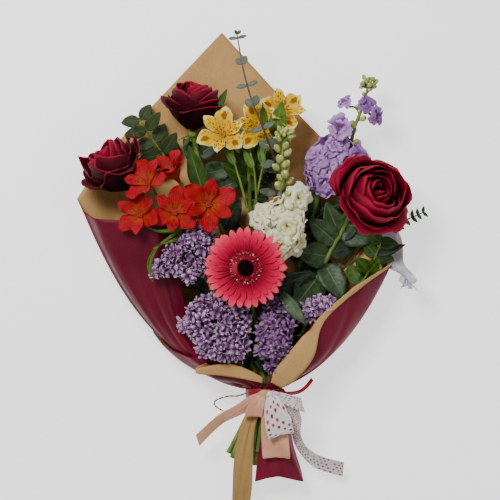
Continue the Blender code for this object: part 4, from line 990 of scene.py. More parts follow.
def strip(path, halves, across, material, lift=0.0012, curl=0.06):
    """A ribbon along the path. halves and across give its half-width and its direction."""
    points = smooth([mm(*point) + Vector((0, 0, lift)) for point in path], STRIP_STEPS)
    sides = smooth([Vector(a).normalized() * (h * 0.001) for a, h in zip(across, halves)], STRIP_STEPS)
    last = len(points) - 1

    def place(u, v):
        n, rest = span_at(v, last)
        side = between(sides[n], sides[n + 1], rest)
        normal = side.cross(points[n + 1] - points[n]).normalized()
        crown = side.length * curl * math.cos(u * 2.6) + 0.0002 * math.sin(u * 9 + v * 5)
        return between(points[n], points[n + 1], rest) + side * u + normal * crown

    ribbon = skin("ribbon", 12, last, place, RIBBON_THICK, material)
    run = sum((b - a).length for a, b in zip(points, points[1:]))
    for corner in ribbon.data.uv_layers.active.data:
        corner.uv.y *= run / (2 * max(halves) * 0.001)
    return ribbon


def knotted(name, knot_at, radii, axis, strips, material, slot, node):
    """A ribbon of several strips that meet in a small knot."""
    knot = bead("knot", knot_at, radii, material, axis, segments=14, rings=9)
    for vert in knot.data.vertices:
        offset = vert.co - knot_at
        vert.co = knot_at + offset * (1 + 0.08 * math.sin(offset.x * 2600 + offset.y * 900))
    ribbon = join(name, strips + [knot])
    stands_for(ribbon, slot, node)


def neck_ribbon():
    """The thin red ribbon: its band round the neck, its knot and its free end."""
    bands = []
    for turn, (start, lean) in enumerate(NECK_TURNS):
        def place(u, v):
            angle = KNOT_ANGLE + 360 * v
            ripple = 0.00025 * math.sin(math.radians(angle * 5 + turn * 40))
            y = NECK.y + start + 0.0019 * u + lean * 0.006 * math.sin(math.radians(angle))
            return ring_point(angle, TIE_RING + 0.0004 + 0.0003 * turn + ripple, y)

        bands.append(skin("band", 4, 72, place, RIBBON_THICK, RED_SATIN))
    end = strip(
        ((34, -134, 41), (42, -134, 44), (52, -132, 46), (60, -126, 49), (66, -118, 52)), (2,) * 5,
        ((0, 1, 0), (0.1, 1, 0), (-0.2, 1, 0.2), (-0.6, 1, 0), (-0.8, 1, 0)), RED_SATIN,
    )
    out = ring_point(KNOT_ANGLE, 1, 0) - ring_point(KNOT_ANGLE, 0, 0)
    knotted(
        "neck_ribbon_satin", ring_point(KNOT_ANGLE, 0.0244, -0.134), (0.005, 0.005, 0.0042), out,
        bands + [end], RED_SATIN, "red_satin", "neck_ribbon",
    )


def bow():
    """The peach ribbon and the printed one, each with its loops and its tail."""
    short_loop = (
        (
            (11, -134, 49.5), (8, -141, 51.6), (4, -150, 52.6), (3, -157, 51.9),
            (2.8, -159, 49.9), (3, -157, 47.9), (6, -146, 47.6), (10, -136, 47.8),
        ),
        (4, 7.5, 9.5, 9.5, 9.5, 9.5, 7.5, 4), ((1, 0, 0),) * 8,
    )
    long_loop = (
        (
            (20, -133, 50), (22, -146, 50.7), (25, -172, 50.1), (27, -198, 48.5), (27.5, -203.5, 45.8),
            (27, -197, 44), (24, -172, 46), (21, -146, 47.6), (19, -134, 48.2),
        ),
        (4, 9, 14, 15, 14, 14, 13, 9, 4), ((1, 0, 0),) * 9,
    )
    tail = (
        ((12, -135, 48.8), (0, -143, 50.5), (-14, -152, 50), (-34, -163, 43), (-58, -186, 33)),
        (4, 7, 7, 7, 7.5),
        ((0.3, 1, 0), (-0.5, 1, 0.4), (-0.7, 1, 0.7), (-0.5, 1, 0.9), (-0.3, 1, 0.6)),
    )
    knotted(
        "peach_ribbon_satin", mm(15.5, -134, 50.1), (0.0085, 0.0045, 0.0022), UP,
        [strip(*shape, PEACH) for shape in (short_loop, long_loop, tail)],
        PEACH, "peach_satin", "peach_ribbon",
    )
    printed_loop = (
        (
            (22, -134, 55.6), (25, -146, 59), (29, -165, 60), (32, -176, 59.2), (32.6, -178.4, 57.2),
            (32, -176, 55.2), (28, -163, 54.4), (24, -146, 54), (21, -135, 54),
        ),
        (4, 10, 14, 14, 14, 13.5, 13, 10, 4), ((1, 0.26, 0),) * 9,
    )
    small_loop = (
        (
            (24, -133, 55.3), (36, -139, 60), (50, -144, 59), (56, -146, 56),
            (49, -144, 53), (36, -139, 53), (24, -134, 54.2),
        ),
        (3, 6.5, 8, 8, 8, 6.5, 3), ((-0.3, 1, 0),) * 7,
    )
    printed_tail = (
        (
            (25, -137, 54.3), (41, -147, 54), (49, -160, 50), (49, -176, 44),
            (55, -193, 37), (72, -209, 26), (101, -219, 14),
        ),
        (3.5, 7, 7.5, 7, 6.5, 8, 8.5),
        (
            (1, 0.6, 0), (1, 0.6, 0.5), (1, 0.1, 0.9), (1, 0.1, 1),
            (1, 0.5, 0.9), (0.5, 1, 0.5), (0.1, 1, 0.3),
        ),
    )
    knotted(
        "printed_ribbon_satin", mm(22.5, -134.5, 55.4), (0.0062, 0.0042, 0.0022), UP,
        [strip(*shape, PRINTED) for shape in (printed_loop, small_loop, printed_tail)],
        PRINTED, "printed_satin", "printed_ribbon",
    )


def twine():
    path = smooth([mm(*point) for point in TWINE_PATH], 6)
    plies = []
    for ply in range(2):
        wound = []
        for n, point in enumerate(path):
            ahead = (path[min(n + 1, len(path) - 1)] - path[max(n - 1, 0)]).normalized()
            across = ahead.orthogonal().normalized()
            turn = n * TWINE_TWIST + math.pi * ply
            out = across * math.cos(turn) + ahead.cross(across) * math.sin(turn)
            wound.append(point + out * PLY_SPREAD)
        plies.append(stalk("ply", wound, [PLY_RADIUS] * len(wound), TWINE))
    cord = join("twine_cord", plies)
    run = sum((b - a).length for a, b in zip(path, path[1:]))
    tuple(path[0])
    [tuple(point) for point in path]
    stands_for(cord, "twine", "twine")


back_sheet()
outer_sheet()
paper_tails()
tissue_frill()
neck_ribbon()
bow()
twine()


# ---------------------------------------------------------------- stems

STEM_RADIUS = 0.0029
STEM_PITCH = 0.0062

# Each stem: its slot at the tie (column and row of the close-packed bundle), the points
# that it passes, and its radius at the far end.
STEMS = {
    "rose_top": ((-1, 0), ((-4, -60, 28), (-28, 30, 22), (-52, 104, 17)), (-64.2, 146, 25.9), 0.0024),
    "rose_left": ((-2, 0), ((-27, -70, 32), (-68, 0, 32), (-103, 53, 28)), (-127, 84.3, 37.1), 0.0024),
    "rose_right": ((1, 0), ((40, -70, 33), (76, 0, 34), (101, 46, 38)), (113.1, 68.1, 54.2), 0.0024),
    "gerbera": ((0, 2), ((7, -70, 46), (-2, -24, 60)), (-6, 2, 90), 0.0026),
    "yellow_alstroemeria": ((-0.5, -1), ((8, -60, 21), (2, 30, 20), (-2, 90, 26)), (-2, 112, 36), 0.0022),
    "red_alstroemeria": ((-1.5, 1), ((-25, -85, 40), (-58, -20, 42)), (-84, 32, 52), 0.0022),
    "white_stock": ((0.5, 1), ((20, -70, 42), (26, -20, 46)), (28, 22, 64), 0.0026),
    "purple_stock": ((0.5, -1), ((30, -60, 21), (58, 20, 19)), (75, 88, 32), 0.0026),
    "lilac_upper": ((-0.5, 1), ((-10, -85, 43), (-33, -38, 46)), (-54, 0, 68), 0.0018),
    "lilac_lower": ((-1, 2), ((-8, -107, 43.5),), (-26, -86, 58), 0.0018),
    "lilac_centre": ((1, 2), ((21.5, -107, 43.5),), (25, -87, 56), 0.0018),
    "lilac_right": ((1.5, 1), ((39, -96, 39),), (66, -50, 54), 0.0016),
    "eucalyptus": (
        (0, 0),
        (
            (18, -60, 27), (24, 40, 33), (28, 96, 44), (25, 118, 63),
            (15, 145, 80), (1, 180, 82), (-8, 212, 82),
        ),
        (-15, 251, 76), 0.0008,
    ),
    "oval_leaf_spray": (
        (-1.5, -1),
        ((-30, -40, 22), (-64, 46, 15), (-78, 95, 17), (-92, 120, 21), (-108, 142, 24)),
        (-121, 163, 27), 0.0008,
    ),
    "ovate_leaf_spray": ((2, 0), ((60, -85, 33), (106, -32, 42), (127, -2, 49)), (140, 30, 54), 0.0008),
    "fine_twig": (
        (1.5, -1), ((52, -75, 25), (100, 0, 26), (140, 40, 42), (160, 50, 47)), (187, 62, 47), 0.0007,
    ),
    "dark_twig": ((0, -2), ((10, -60, 13), (2, 20, 10), (2, 60, 12), (9, 86, 15)), (19, 104, 17), 0.0008),
}
# How many points of a stem's route keep its full radius, from the cut end to above the tie
HELD_POINTS = 13


def stem_route(slot, passes, end):
    """From the cut end, through the tie, past the given points to the head."""
    offset = Vector((slot[0] * STEM_PITCH, 0, slot[1] * STEM_PITCH * math.sqrt(0.75)))
    left = slot[0] < -1.2
    spread = Vector((offset.x * 1.3, 0, offset.z * 1.15))
    cut = -0.198 - 0.010 * ((slot[0] * 3 + slot[1]) % 2)
    foot = Vector((NECK.x - 0.006, cut, NECK.z - 0.006)) + spread
    middle = Vector((NECK.x - 0.002, -0.166, NECK.z - 0.002)) + offset * 1.12
    if left:
        foot += Vector((-0.0165, -0.002, 0.004 - 0.003 * slot[1]))
        middle.x -= 0.005
    low = NECK + offset
    low.y = -0.143
    high = NECK + offset
    high.y = -0.124
    return [foot, middle, low, high] + [mm(*p) for p in passes] + [mm(*end)]


class Green:
    """A stem with its leaves, buds and sepals, joined into one piece."""

    def __init__(self, name, material=GREEN_STEM, held_radius=STEM_RADIUS):
        slot, passes, end, tip = STEMS[name]
        points = stem_route(slot, passes, end)
        self.coarse = points[:3] + smooth(points[3:], 2)
        self.route = smooth(points[:4], 4)[:-1] + smooth(points[3:], 6)
        self.top = mm(*end)
        rest = len(self.route) - HELD_POINTS
        radii = [held_radius] * HELD_POINTS
        radii += [between(held_radius, tip, (n + 1) / rest) for n in range(rest)]
        radii[0] *= 1.06
        self.pieces = [stalk("stem", self.route, radii, material, resolution=2)]
        cut = (held_radius * 0.9, held_radius * 0.9, 0.0004)
        self.add(bead("cut", self.route[0], cut, BUD_GREEN, self.route[1] - self.route[0], rings=5))

    def add(self, piece):
        self.pieces.append(piece)

    def leaf(self, root, *shape, **bends):
        """A leaf from a point of the stem, or from a place given in millimetres."""
        self.add(leaf(root if isinstance(root, Vector) else mm(*root), *shape, **bends))

    def branch(self, points, first, last, steps=5, resolution=1):
        route = smooth(points, steps)
        radii = [between(first, last, n / (len(route) - 1)) for n in range(len(route))]
        self.add(stalk("branch", route, radii, GREEN_STEM, resolution))
        return route

    def foliage(self, first, last, count, seed, length=0.034, half=0.011, material=DARK_LEAF):
        """Leaves that fill the depth of the bouquet along a stretch of the stem, by default in the
        near-black leaf finish as painted shade in the depth.
        """
        rng = random.Random(seed)
        for n in range(count):
            at = between(first, last, (n + rng.random()) / count) * (len(self.route) - 1)
            base = min(int(at), len(self.route) - 2)
            forward = (self.route[base + 1] - self.route[base]).normalized()
            angle = n * GOLDEN + rng.uniform(-0.4, 0.4)
            out = Vector((math.cos(angle), math.sin(angle) * 0.5, math.sin(angle * 2) * 0.15))
            size = rng.uniform(0.8, 1.15)
            facing = (rng.uniform(-0.4, 0.4), rng.uniform(-0.4, 0.4), 1)
            self.leaf(
                self.route[base], out + forward * 0.7, facing, length * size, half * size,
                HEART, material, bend=rng.uniform(-0.5, 0.2), fold=0.2,
            )

    def finish(self, name, slot, node):
        stands_for(join(name, self.pieces), slot, node)


# ---------------------------------------------------------------- roses

# The inner petals that the roses share
HEART_PETALS = (2, 215, 1.00, 0.60, 0.98, 0.03, 0.00)
# Each rose: the foot of its bloom, its axis, radius, height and turn; its shade, and how far
# its bloom leans over; its layers of petals (how many, span in degrees, belly and lip
# radius, height, how far the rim rolls back, and how far a point stands up from it); the
# stretch, count and seed of the leaves that fill round its stem; and its own leaves
ROSES = {
    "rose_top": {
        "bloom": ((-64, 150, 28), (0.05, 0.88, 0.46), 0.0285, 0.055, 0.5),
        "shade": 1.0,
        "lean": (0.0, 0.10, -0.16),
        "layers": (
            (3, 142, 1.02, 1.10, 0.72, 0.13, 0.05),
            (3, 146, 1.10, 0.96, 0.84, 0.11, 0.04),
            (3, 152, 1.10, 0.78, 0.95, 0.06, 0.00),
            HEART_PETALS,
            (2, 215, 0.80, 0.45, 1.00, 0.02, 0.00),
            (2, 220, 0.58, 0.31, 1.00, 0.00, 0.00),
            (2, 230, 0.36, 0.17, 0.98, 0.00, 0.00),
        ),
        "foliage": (0.36, 0.72, 9, 31),
        "leaves": (
            ((-58, 124, 19), (0.9, 0.6, 0.2), UP, 0.036, 0.0110),
            ((-52, 104, 17), (1, 0.2, 0.3), UP, 0.040, 0.0120),
            ((-56, 116, 18), (-0.6, 0.9, 0.15), UP, 0.032, 0.0095),
            ((-45, 84, 18), (1, 0.4, 0.2), UP, 0.040, 0.0120),
        ),
    },
    "rose_left": {
        "bloom": ((-129.5, 87.5, 39), (-0.56, 0.70, 0.42), 0.030, 0.060, 1.4),
        "shade": 0.9,
        "lean": (0.0, 0.0, 0.0),
        "layers": (
            (4, 108, 1.12, 1.10, 0.74, 0.17, 0.24),
            (3, 138, 1.16, 0.96, 0.85, 0.13, 0.26),
            (3, 152, 1.18, 0.76, 0.93, 0.06, 0.12),
            HEART_PETALS,
            (2, 215, 0.80, 0.45, 0.99, 0.01, 0.00),
            (2, 220, 0.56, 0.30, 0.98, 0.00, 0.00),
            (2, 230, 0.34, 0.16, 0.96, 0.00, 0.00),
        ),
        "foliage": (0.34, 0.70, 8, 32),
        "leaves": (((-103, 53, 28), (-0.9, -0.2, 0.3), UP, 0.034, 0.0100),),
    },
    "rose_right": {
        "bloom": ((115, 69.5, 58), (0.42, 0.32, 0.85), 0.0365, 0.056, 0.0),
        "shade": 0.1,
        "lean": (0.0, 0.0, 0.0),
        "layers": (
            (4, 114, 0.98, 1.10, 0.70, 0.20, 0.08),
            (3, 140, 1.14, 0.98, 0.82, 0.15, 0.05),
            (3, 154, 1.20, 0.79, 0.95, 0.07, 0.00),
            (2, 210, 1.08, 0.65, 1.00, 0.04, 0.00),
            (3, 154, 0.90, 0.51, 1.01, 0.03, 0.00),
            (2, 215, 0.70, 0.38, 1.01, 0.02, 0.00),
            (2, 220, 0.50, 0.25, 1.00, 0.00, 0.00),
            (2, 230, 0.30, 0.13, 0.98, 0.00, 0.00),
        ),
        "foliage": (0.36, 0.80, 12, 33),
        "leaves": (
            ((84, 14, 34), (-1.0, 0.15, 0.55), (-0.3, 0, 1), 0.040, 0.0145),
            ((74, -6, 33), (-0.6, -0.75, 0.6), (-0.2, -0.2, 1), 0.050, 0.0175),
            ((80, 5, 33.5), (0.5, -0.9, 0.5), (0.2, -0.2, 1), 0.044, 0.0150),
            ((92, 29, 36), (-0.8, 0.7, 0.3), UP, 0.040, 0.0130),
            ((98, 40, 37), (0.9, -0.2, 0.3), UP, 0.040, 0.0130),
            ((96, 36, 37), (-0.4, 1.0, 0.2), UP, 0.040, 0.0120),
        ),
    },
}


def rose_petal(rng, turn, span, belly, lip, height, foot, curl, point):
    """One petal of a bowl round +Z, tucked inside its neighbour, with a rolled-back rim."""
    phase = rng.uniform(0, 6)
    peak = rng.uniform(-0.25, 0.25)
    ragged = rng.uniform(0.5, 1.3)
    roll = curl * rng.uniform(0.75, 1.35)
    point *= rng.choice((0.3, 1.0, 1.5))

    def place(u, v):
        radius = foot * (1 - v) ** 2 + 2 * v * (1 - v) * belly + lip * v * v + belly * 0.09 * u * v
        wide = 0.40 + 0.60 * math.sin(math.pi / 2 * min(v * 1.35, 1.0)) - 0.34 * ease((v - 0.74) / 0.26)
        rolled = ease((v - 0.66) / 0.34)
        shoulder = abs(u - peak) ** 2.2
        high = height * (0.06 + 0.94 * v * (1 - 0.17 * shoulder * v))
        high += height * point * math.exp(-((u - peak) / 0.28) ** 2) * v**3
        ripple = math.sin(phase + u * 5.0) + 0.6 * math.sin(phase * 2 + u * 11)
        radius += roll * rolled**2 * (1 - 0.35 * abs(u)) + ragged * belly * 0.035 * ripple * v**4
        high -= roll * 0.85 * rolled**3
        return ray(turn + u * span / 2 * wide) * radius + Vector((0, 0, high))

    return place


def rose_bloom(name, rose):
    foot, axis, radius, height, turn = rose["bloom"]
    rng = random.Random(name)
    heart = (radius * 0.16, radius * 0.16, height * 0.40)
    # The heart takes the full tint, the darkest tone, as painted shade in the middle of the bloom.
    pieces = [bead("heart", Vector((0, 0, height * 0.40)), heart, ROSE, tint=1.0)]
    for layer, (count, span, belly, lip, high, curl, point) in enumerate(rose["layers"]):
        for n in range(count):
            around = turn + layer * GOLDEN + math.tau * n / count + rng.uniform(-0.12, 0.12)
            place = rose_petal(
                rng, around, math.radians(span), radius * belly, radius * lip * rng.uniform(0.91, 1.04),
                height * high * rng.uniform(0.94, 1.02), radius * 0.2, radius * curl, point,
            )
            # Outer petals take the rose's own darkness; each layer inwards is darkened at least a little
            # more, as painted shade in the heart of the bloom.
            shade = max(layer * 0.05, rose["shade"] * (1 - layer * 0.12))
            pieces.append(skin("petal", 14, 14, place, PETAL_THICK, ROSE, tint=shade))
    bloom = join(name + "_petals", pieces)
    bloom.data.transform(placed(mm(*foot), Vector(axis).normalized() + Vector(rose["lean"])))
    stands_for(bloom, "rose_petal", name + "_bloom")


def rose_green(name, rose):
    green = Green(name)
    _, axis, radius, _, turn = rose["bloom"]
    axis = Vector(axis).normalized()
    frame = upright(axis).to_3x3()
    hip = (0.0048, 0.0048, 0.004)
    green.add(bead("hip", green.top + axis * 0.001, hip, GREEN_STEM, axis, segments=12, rings=8))
    for n in range(5):
        out = frame @ ray(turn + math.tau * n / 5)
        low = n % 3
        root = green.top - axis * (0.0007 + 0.0007 * low)
        along = out - axis * (0.25 + 0.1 * low)
        green.leaf(root, along, axis, radius * 0.66, 0.0026, LANCE, GREEN_LEAF, bend=-0.6)
    for own in rose["leaves"]:
        green.leaf(*own, HEART, ROSE_LEAF, bend=-0.25, fold=0.18, wave=0.12)
    green.foliage(*rose["foliage"])
    green.finish(name + "_green", "green_stem", name + "_stem")


def roses():
    for name, rose in ROSES.items():
        rose_bloom(name, rose)
    for name, rose in ROSES.items():
        rose_green(name, rose)


# ---------------------------------------------------------------- gerbera

# Each row of the gerbera's petals: their length, half-width and bend; how many; how far they
# rise, their height, and their shift round the row in petals
GERBERA_ROWS = (
    ((0.0300, 0.0041, -0.22), 29, 0.10, 0.0004, 0.0),
    ((0.0290, 0.0044, -0.34), 27, 0.00, -0.0008, 0.5),
    ((0.0215, 0.0028, -0.20), 26, 0.14, 0.0014, 0.25),
)
PETAL_RING = 0.0142
# Each ring of threads round the eye: its radius and their count
THREAD_RINGS = ((0.0090, 44), (0.0104, 48), (0.0119, 54), (0.0135, 58), (0.0150, 58))


def gerbera_petals(rng):
    blunt = outline(0.62, 0.42)
    sources = []
    for (length, half, bend), *_ in GERBERA_ROWS:
        for variant in range(3):
            place = laid(Vector(), (1, 0, 0), UP, length, half, blunt, bend, 0.10, 0.14, variant * 2.1)
            sources.append(skin("petal", 8, 12, place, PETAL_THICK, GERBERA, tint=rng.random()))
    pieces = []
    for row, (_, count, rise, height, shift) in enumerate(GERBERA_ROWS):
        for n in range(count):
            angle = math.tau * (n + shift) / count + rng.uniform(-0.03, 0.03)
            scale = rng.uniform(0.92, 1.03)
            foot = (PETAL_RING, 0, height + rng.uniform(-0.0004, 0.0004))
            turn = Matrix.Rotation(angle, 4, "Z") @ Matrix.Translation(foot)
            turn = turn @ Matrix.Rotation(-rise, 4, "Y")
            turn = turn @ Matrix.Rotation(rng.uniform(-0.16, 0.16), 4, "X")
            turn = turn @ Matrix.Diagonal((scale, scale, scale, 1))
            pieces.append(copied(sources[row * 3 + rng.randrange(3)], turn, rng.random()))
    drop(*sources)
    bloom = join("gerbera_ray_petals", pieces)
    bloom.data.transform(Matrix.Translation(GERBERA_CENTRE))
    stands_for(bloom, "gerbera_petal", "gerbera_petals")


def gerbera_centre(rng):
    eye = bead("eye", mm(0, 0, 5), (0.0086, 0.0086, 0.0036), DISC, segments=32, rings=18)
    base = bead("base", mm(0, 0, 2.6), (0.0150, 0.0150, 0.0016), GERBERA, segments=28, rings=8)
    curl = laid(Vector(), (1, 0, 0.9), UP, 0.0042, 0.0006, STRAP, -0.9)
    thread = skin("thread", 2, 3, curl, FLORET_THICK, FILAMENT)
    threads = []
    for ring, (radius, count) in enumerate(THREAD_RINGS):
        for n in range(count):
            angle = math.tau * (n + rng.uniform(-0.35, 0.35)) / count
            foot = (radius, 0, 0.0022 - 0.0002 * ring)
            turn = Matrix.Rotation(angle, 4, "Z") @ Matrix.Translation(foot)
            turn = turn @ Matrix.Rotation(rng.uniform(-0.5, 0.4), 4, "Y")
            turn = turn @ Matrix.Rotation(rng.uniform(-0.6, 0.6), 4, "Z")
            turn = turn @ Matrix.Scale(rng.uniform(0.6, 1.0), 4)
            threads.append(copied(thread, turn, rng.random() ** 2))
    drop(thread)
    disc = join("gerbera_centre", [base, eye] + threads)
    disc.data.transform(Matrix.Translation(GERBERA_CENTRE))
    stands_for(disc, "gerbera_disc", "gerbera_disc")


def gerbera():
    rng = random.Random(5)
    gerbera_petals(rng)
    gerbera_centre(rng)
    green = Green("gerbera")
    calyx = [green.top + mm(0, 0, level) for level in (-2, 1, 2.8, 4.3)]
    green.add(stalk("calyx", calyx, [0.0024, 0.0070, 0.0092, 0.0102], GREEN_STEM, resolution=4))
    for n in range(14):
        out = ray(math.tau * n / 14)
        root = green.top + out * 0.006 + mm(0, 0, 1)
        green.leaf(root, out + UP * 0.5, UP, 0.008, 0.0014, LANCE, GREEN_LEAF)
    green.finish("gerbera_green", "green_stem", "gerbera_stem")


# ---------------------------------------------------------------- alstroemeria

# Each floret: the foot of its funnel, its axis, size, turn and how far it opens in degrees
YELLOW_FLORETS = (
    ((-29.5, 143, 51), (-0.13, 0.26, 0.9), 0.0312, 0.4, 34),
    ((6.2, 150, 47), (0.15, 0.2, 0.95), 0.0325, 0.0, 34),
    ((31, 166, 46), (0.25, 0.45, 0.85), 0.030, 0.8, 34),
)
RED_FLORETS = (
    ((-76, 93, 76), (-0.52, 0.74, 0.42), 0.034, 0.2, 14),
    ((-106, 88, 80), (-0.45, 0.5, 0.75), 0.030, 0.7, 34),
    ((-115, 57, 78), (-0.35, 0.2, 0.9), 0.030, 0.1, 34),
    ((-81, 59, 79), (0.0, 0.2, 0.97), 0.031, 0.9, 34),
    ((-46, 68, 76), (0.10, 0.15, 0.97), 0.035, 0.5, 34),
)
# The outer and the inner petals: their half-width in sizes of the floret, wave and outline
FLORET_PETALS = ((0.32, 0.30, outline(0.60, 0.70)), (0.22, 0.20, outline(0.64, 0.85)))
# Leaves at the fork of each head: direction, length, half-width and finish
YELLOW_FORK_LEAVES = (
    ((-0.25, 1, 0.3), 0.036, 0.007, BRACT), ((0.5, 1, 0.5), 0.034, 0.006, BRACT),
    ((-0.9, 0.7, 0.4), 0.030, 0.005, GREEN_LEAF), ((0.3, -0.6, 0.9), 0.026, 0.005, GREEN_LEAF),
    ((0.1, 1, 0.6), 0.030, 0.008, BRACT),
)
RED_FORK_LEAVES = (
    ((-0.2, 1, 0.0), 0.050, 0.007, GREEN_LEAF), ((0.7, 1, 0.1), 0.055, 0.009, GREEN_LEAF),
    ((-1, 0.3, -0.1), 0.040, 0.006, GREEN_LEAF), ((0.9, 0.1, 0.3), 0.034, 0.006, GREEN_LEAF),
)
# Leaves round the yellow florets: root, direction, length, half-width, finish and fold
YELLOW_LEAVES = (
    ((25, 142, 64), (0.22, 1, 0.25), 0.042, 0.0098, BRACT, 0.25),
    ((14, 150, 58), (-0.05, 1, 0.2), 0.030, 0.0040, BRACT, 0.3),
    ((-35, 176, 50), (0.5, 1, 0.1), 0.021, 0.0040, GREEN_LEAF, 0.25),
)
YELLOW_SHOOTS = (
    ((-4, 66, 56), (-11, 92, 60), (-17, 112, 58), (-22, 138, 50)),
    ((6, 62, 56), (5, 86, 63), (3, 108, 64), (-3, 134, 54)),
    ((0, 52, 56), (7, 84, 60), (13, 112, 60), (17, 138, 50)),
)
RED_BRACTS = (
    ((-68, 46, 76), (-80, 42, 84), (-92, 41, 88), (-104, 43, 88), (-113, 47, 87)),
    ((-70, 44, 76), (-86, 34, 86), (-101, 22, 90), (-108, 5, 88), (-104, -13, 85)),
    ((-68, 42, 77), (-78, 33, 84), (-88, 29, 87), (-97, 27, 88), (-104, 22, 87)),
)
BRACT_HALVES = (1.4, 3.6, 3.6, 2.4, 0.4)
BRACT_SIDES = ((0.3, 1, 0), (0.5, 0.9, 0.1), (0.8, 0.6, 0.1), (1, 0.2, 0), (1, -0.1, 0))


def alstroemeria_floret(name, spec, material, slot, node):
    foot, axis, size, turn, openness = spec
    rng = random.Random(name)
    throat = stalk(
        "throat", [UP * (size * share) for share in (0, 0.1, 0.2, 0.3)],
        [0.0017, 0.0024, 0.0031, 0.0034], material, resolution=2,
    )
    mark(throat, inner=0.0)
    pieces = [throat]
    for n in range(6):
        inner = n % 2
        out = ray(turn + math.tau * n / 6 + rng.uniform(-0.06, 0.06))
        lean = math.radians(openness + (-7 if inner else 7) + rng.uniform(-3, 3))
        along = out * math.sin(lean) + UP * math.cos(lean)
        facing = UP * math.sin(lean) - out * math.cos(lean)
        half, wave, width = FLORET_PETALS[inner]
        place = laid(
            out * 0.0008 + UP * (size * 0.10), along, facing, size * rng.uniform(0.96, 1.04),
            size * half, width, -0.85, 0.14, wave, rng.uniform(0, 6),
        )
        petal = skin("petal", 10, 14, place, PETAL_THICK, material, tint=rng.random())
        mark(petal, inner=float(inner))
        pieces.append(petal)
    for n in range(6):
        out = ray(turn + 0.5 + math.tau * n / 6)
        rises = ((0.2, 0.001), (0.5, 0.0025), (0.66, 0.0045))
        threads = smooth([UP * (size * share) + out * reach for share, reach in rises], 3)
        pieces.append(stalk("stamen", threads, [0.00035] * len(threads), FILAMENT, resolution=0))
        anther = (0.0006, 0.0006, 0.0012)
        pieces.append(bead("anther", threads[-1], anther, DARK_STEM, out, segments=6, rings=5))
    floret = join(name, pieces)
    floret.data.transform(placed(mm(*foot), axis))
    stands_for(floret, slot, node)


def alstroemeria_green(kind, florets, fork_leaves):
    """The stem of an alstroemeria, with a side stem to each floret and leaves at the fork."""
    green = Green(kind)
    start, fork = green.coarse[-2:]
    for foot, axis, *_ in florets:
        axis = Vector(axis).normalized()
        end = mm(*foot) - axis * 0.0004
        middle = (fork + end) / 2 - Vector((0, 0, 0.003)) - axis * 0.004
        route = [start.lerp(fork, 0.7), fork.lerp(middle, 0.3), middle, end - axis * 0.005, end]
        green.branch(route, 0.0013, 0.0014)
        green.add(bead("ovary", end - axis * 0.001, (0.0021, 0.0021, 0.0032), GREEN_STEM, axis))
    for along, length, half, material in fork_leaves:
        green.leaf(fork, along, UP, length, half, LANCE, material, bend=0.2, fold=0.15)
    return green


def yellow_green():
    green = alstroemeria_green("yellow_alstroemeria", YELLOW_FLORETS, YELLOW_FORK_LEAVES)
    green.foliage(0.42, 0.98, 9, 35, 0.042, 0.010, GREEN_LEAF)
    for root, along, length, half, material, fold in YELLOW_LEAVES:
        green.leaf(root, along, UP, length, half, LANCE, material, bend=0.2, fold=fold)
    foot = [mm(-10, 150, 38), mm(-26, 164, 44), mm(-34.6, 176.8, 50)]
    green.add(stalk("leaf_foot", foot, [0.0011, 0.0009, 0.0008], GREEN_STEM))
    for path in YELLOW_SHOOTS:
        shoot = green.branch([mm(*p) for p in path], 0.0015, 0.0010, resolution=2)
        ahead = shoot[-4] - shoot[-6] + Vector((-0.004, 0, 0.001))
        green.leaf(shoot[-6], ahead, UP, 0.026, 0.0042, LANCE, BRACT, bend=0.2, fold=0.3)
    green.finish("yellow_alstroemeria_green", "green_stem", "yellow_alstroemeria_stem")


def red_green():
    green = alstroemeria_green("red_alstroemeria", RED_FLORETS, RED_FORK_LEAVES)
    low, start, fork = green.coarse[-3:]
    for root, along, facing, length, half, bend in (
        (start, (-1, 0.1, 0.35), (0.2, 0, 1), 0.062, 0.0055, -0.9),
        (low, (-1, 0.4, 0.5), UP, 0.045, 0.005, -0.3),
    ):
        green.leaf(root, along, facing, length, half, STRAP, GREEN_LEAF, bend=bend, fold=0.15)
    green.foliage(0.45, 0.98, 9, 36, 0.040, 0.009, GREEN_LEAF)
    green.leaf(
        (-52, 84, 58), (-0.30, 1, 0.14), UP, 0.052, 0.0105, LANCE, GREEN_LEAF, bend=0.15, fold=0.2,
    )
    foot = [fork, mm(-66, 60, 56), mm(-52.4, 85, 58.2)]
    green.add(stalk("leaf_foot", foot, [0.0014, 0.0011, 0.0009], GREEN_STEM))
    for path in RED_BRACTS:
        green.add(strip(path, BRACT_HALVES, BRACT_SIDES, BRACT, 0.0, 0.25))
    green.finish("red_alstroemeria_green", "green_stem", "red_alstroemeria_stem")


def alstroemerias():
    for kind, florets, material in (("yellow", YELLOW_FLORETS, YELLOW), ("red", RED_FLORETS, RED)):
        for number, spec in enumerate(florets, 1):
            name, node = (f"{kind}_alstroemeria_{part}_{number}" for part in ("bloom", "floret"))
            alstroemeria_floret(name, spec, material, kind + "_petal", node)
    yellow_green()
    red_green()


# ---------------------------------------------------------------- stocks and lilac

# Each ring of a ruffled floret: its petals, its size and how far they rise
DOUBLE_RINGS = ((5, 1.0, 0.20), (4, 0.64, 0.70), (2, 0.34, 1.15))
HALF_OPEN_RINGS = ((4, 1.0, 0.55), (3, 0.55, 1.0))
HALF_OPEN_RADIUS = 0.0125
# The opening of each kind of lilac floret, and how many florets there are to a tuft
LILAC_OPENINGS = (0.1, 0.6, 1.1, 1.7)
TUFT_FLORETS = 11


def over_ball(count, radii):
    """Places spread evenly over a ball, each with the direction it faces."""
    for unit in spiral(count, 2):
        place = Vector(u * r for u, r in zip(unit, radii))
        yield place, Vector(u / r for u, r in zip(unit, radii)).normalized()


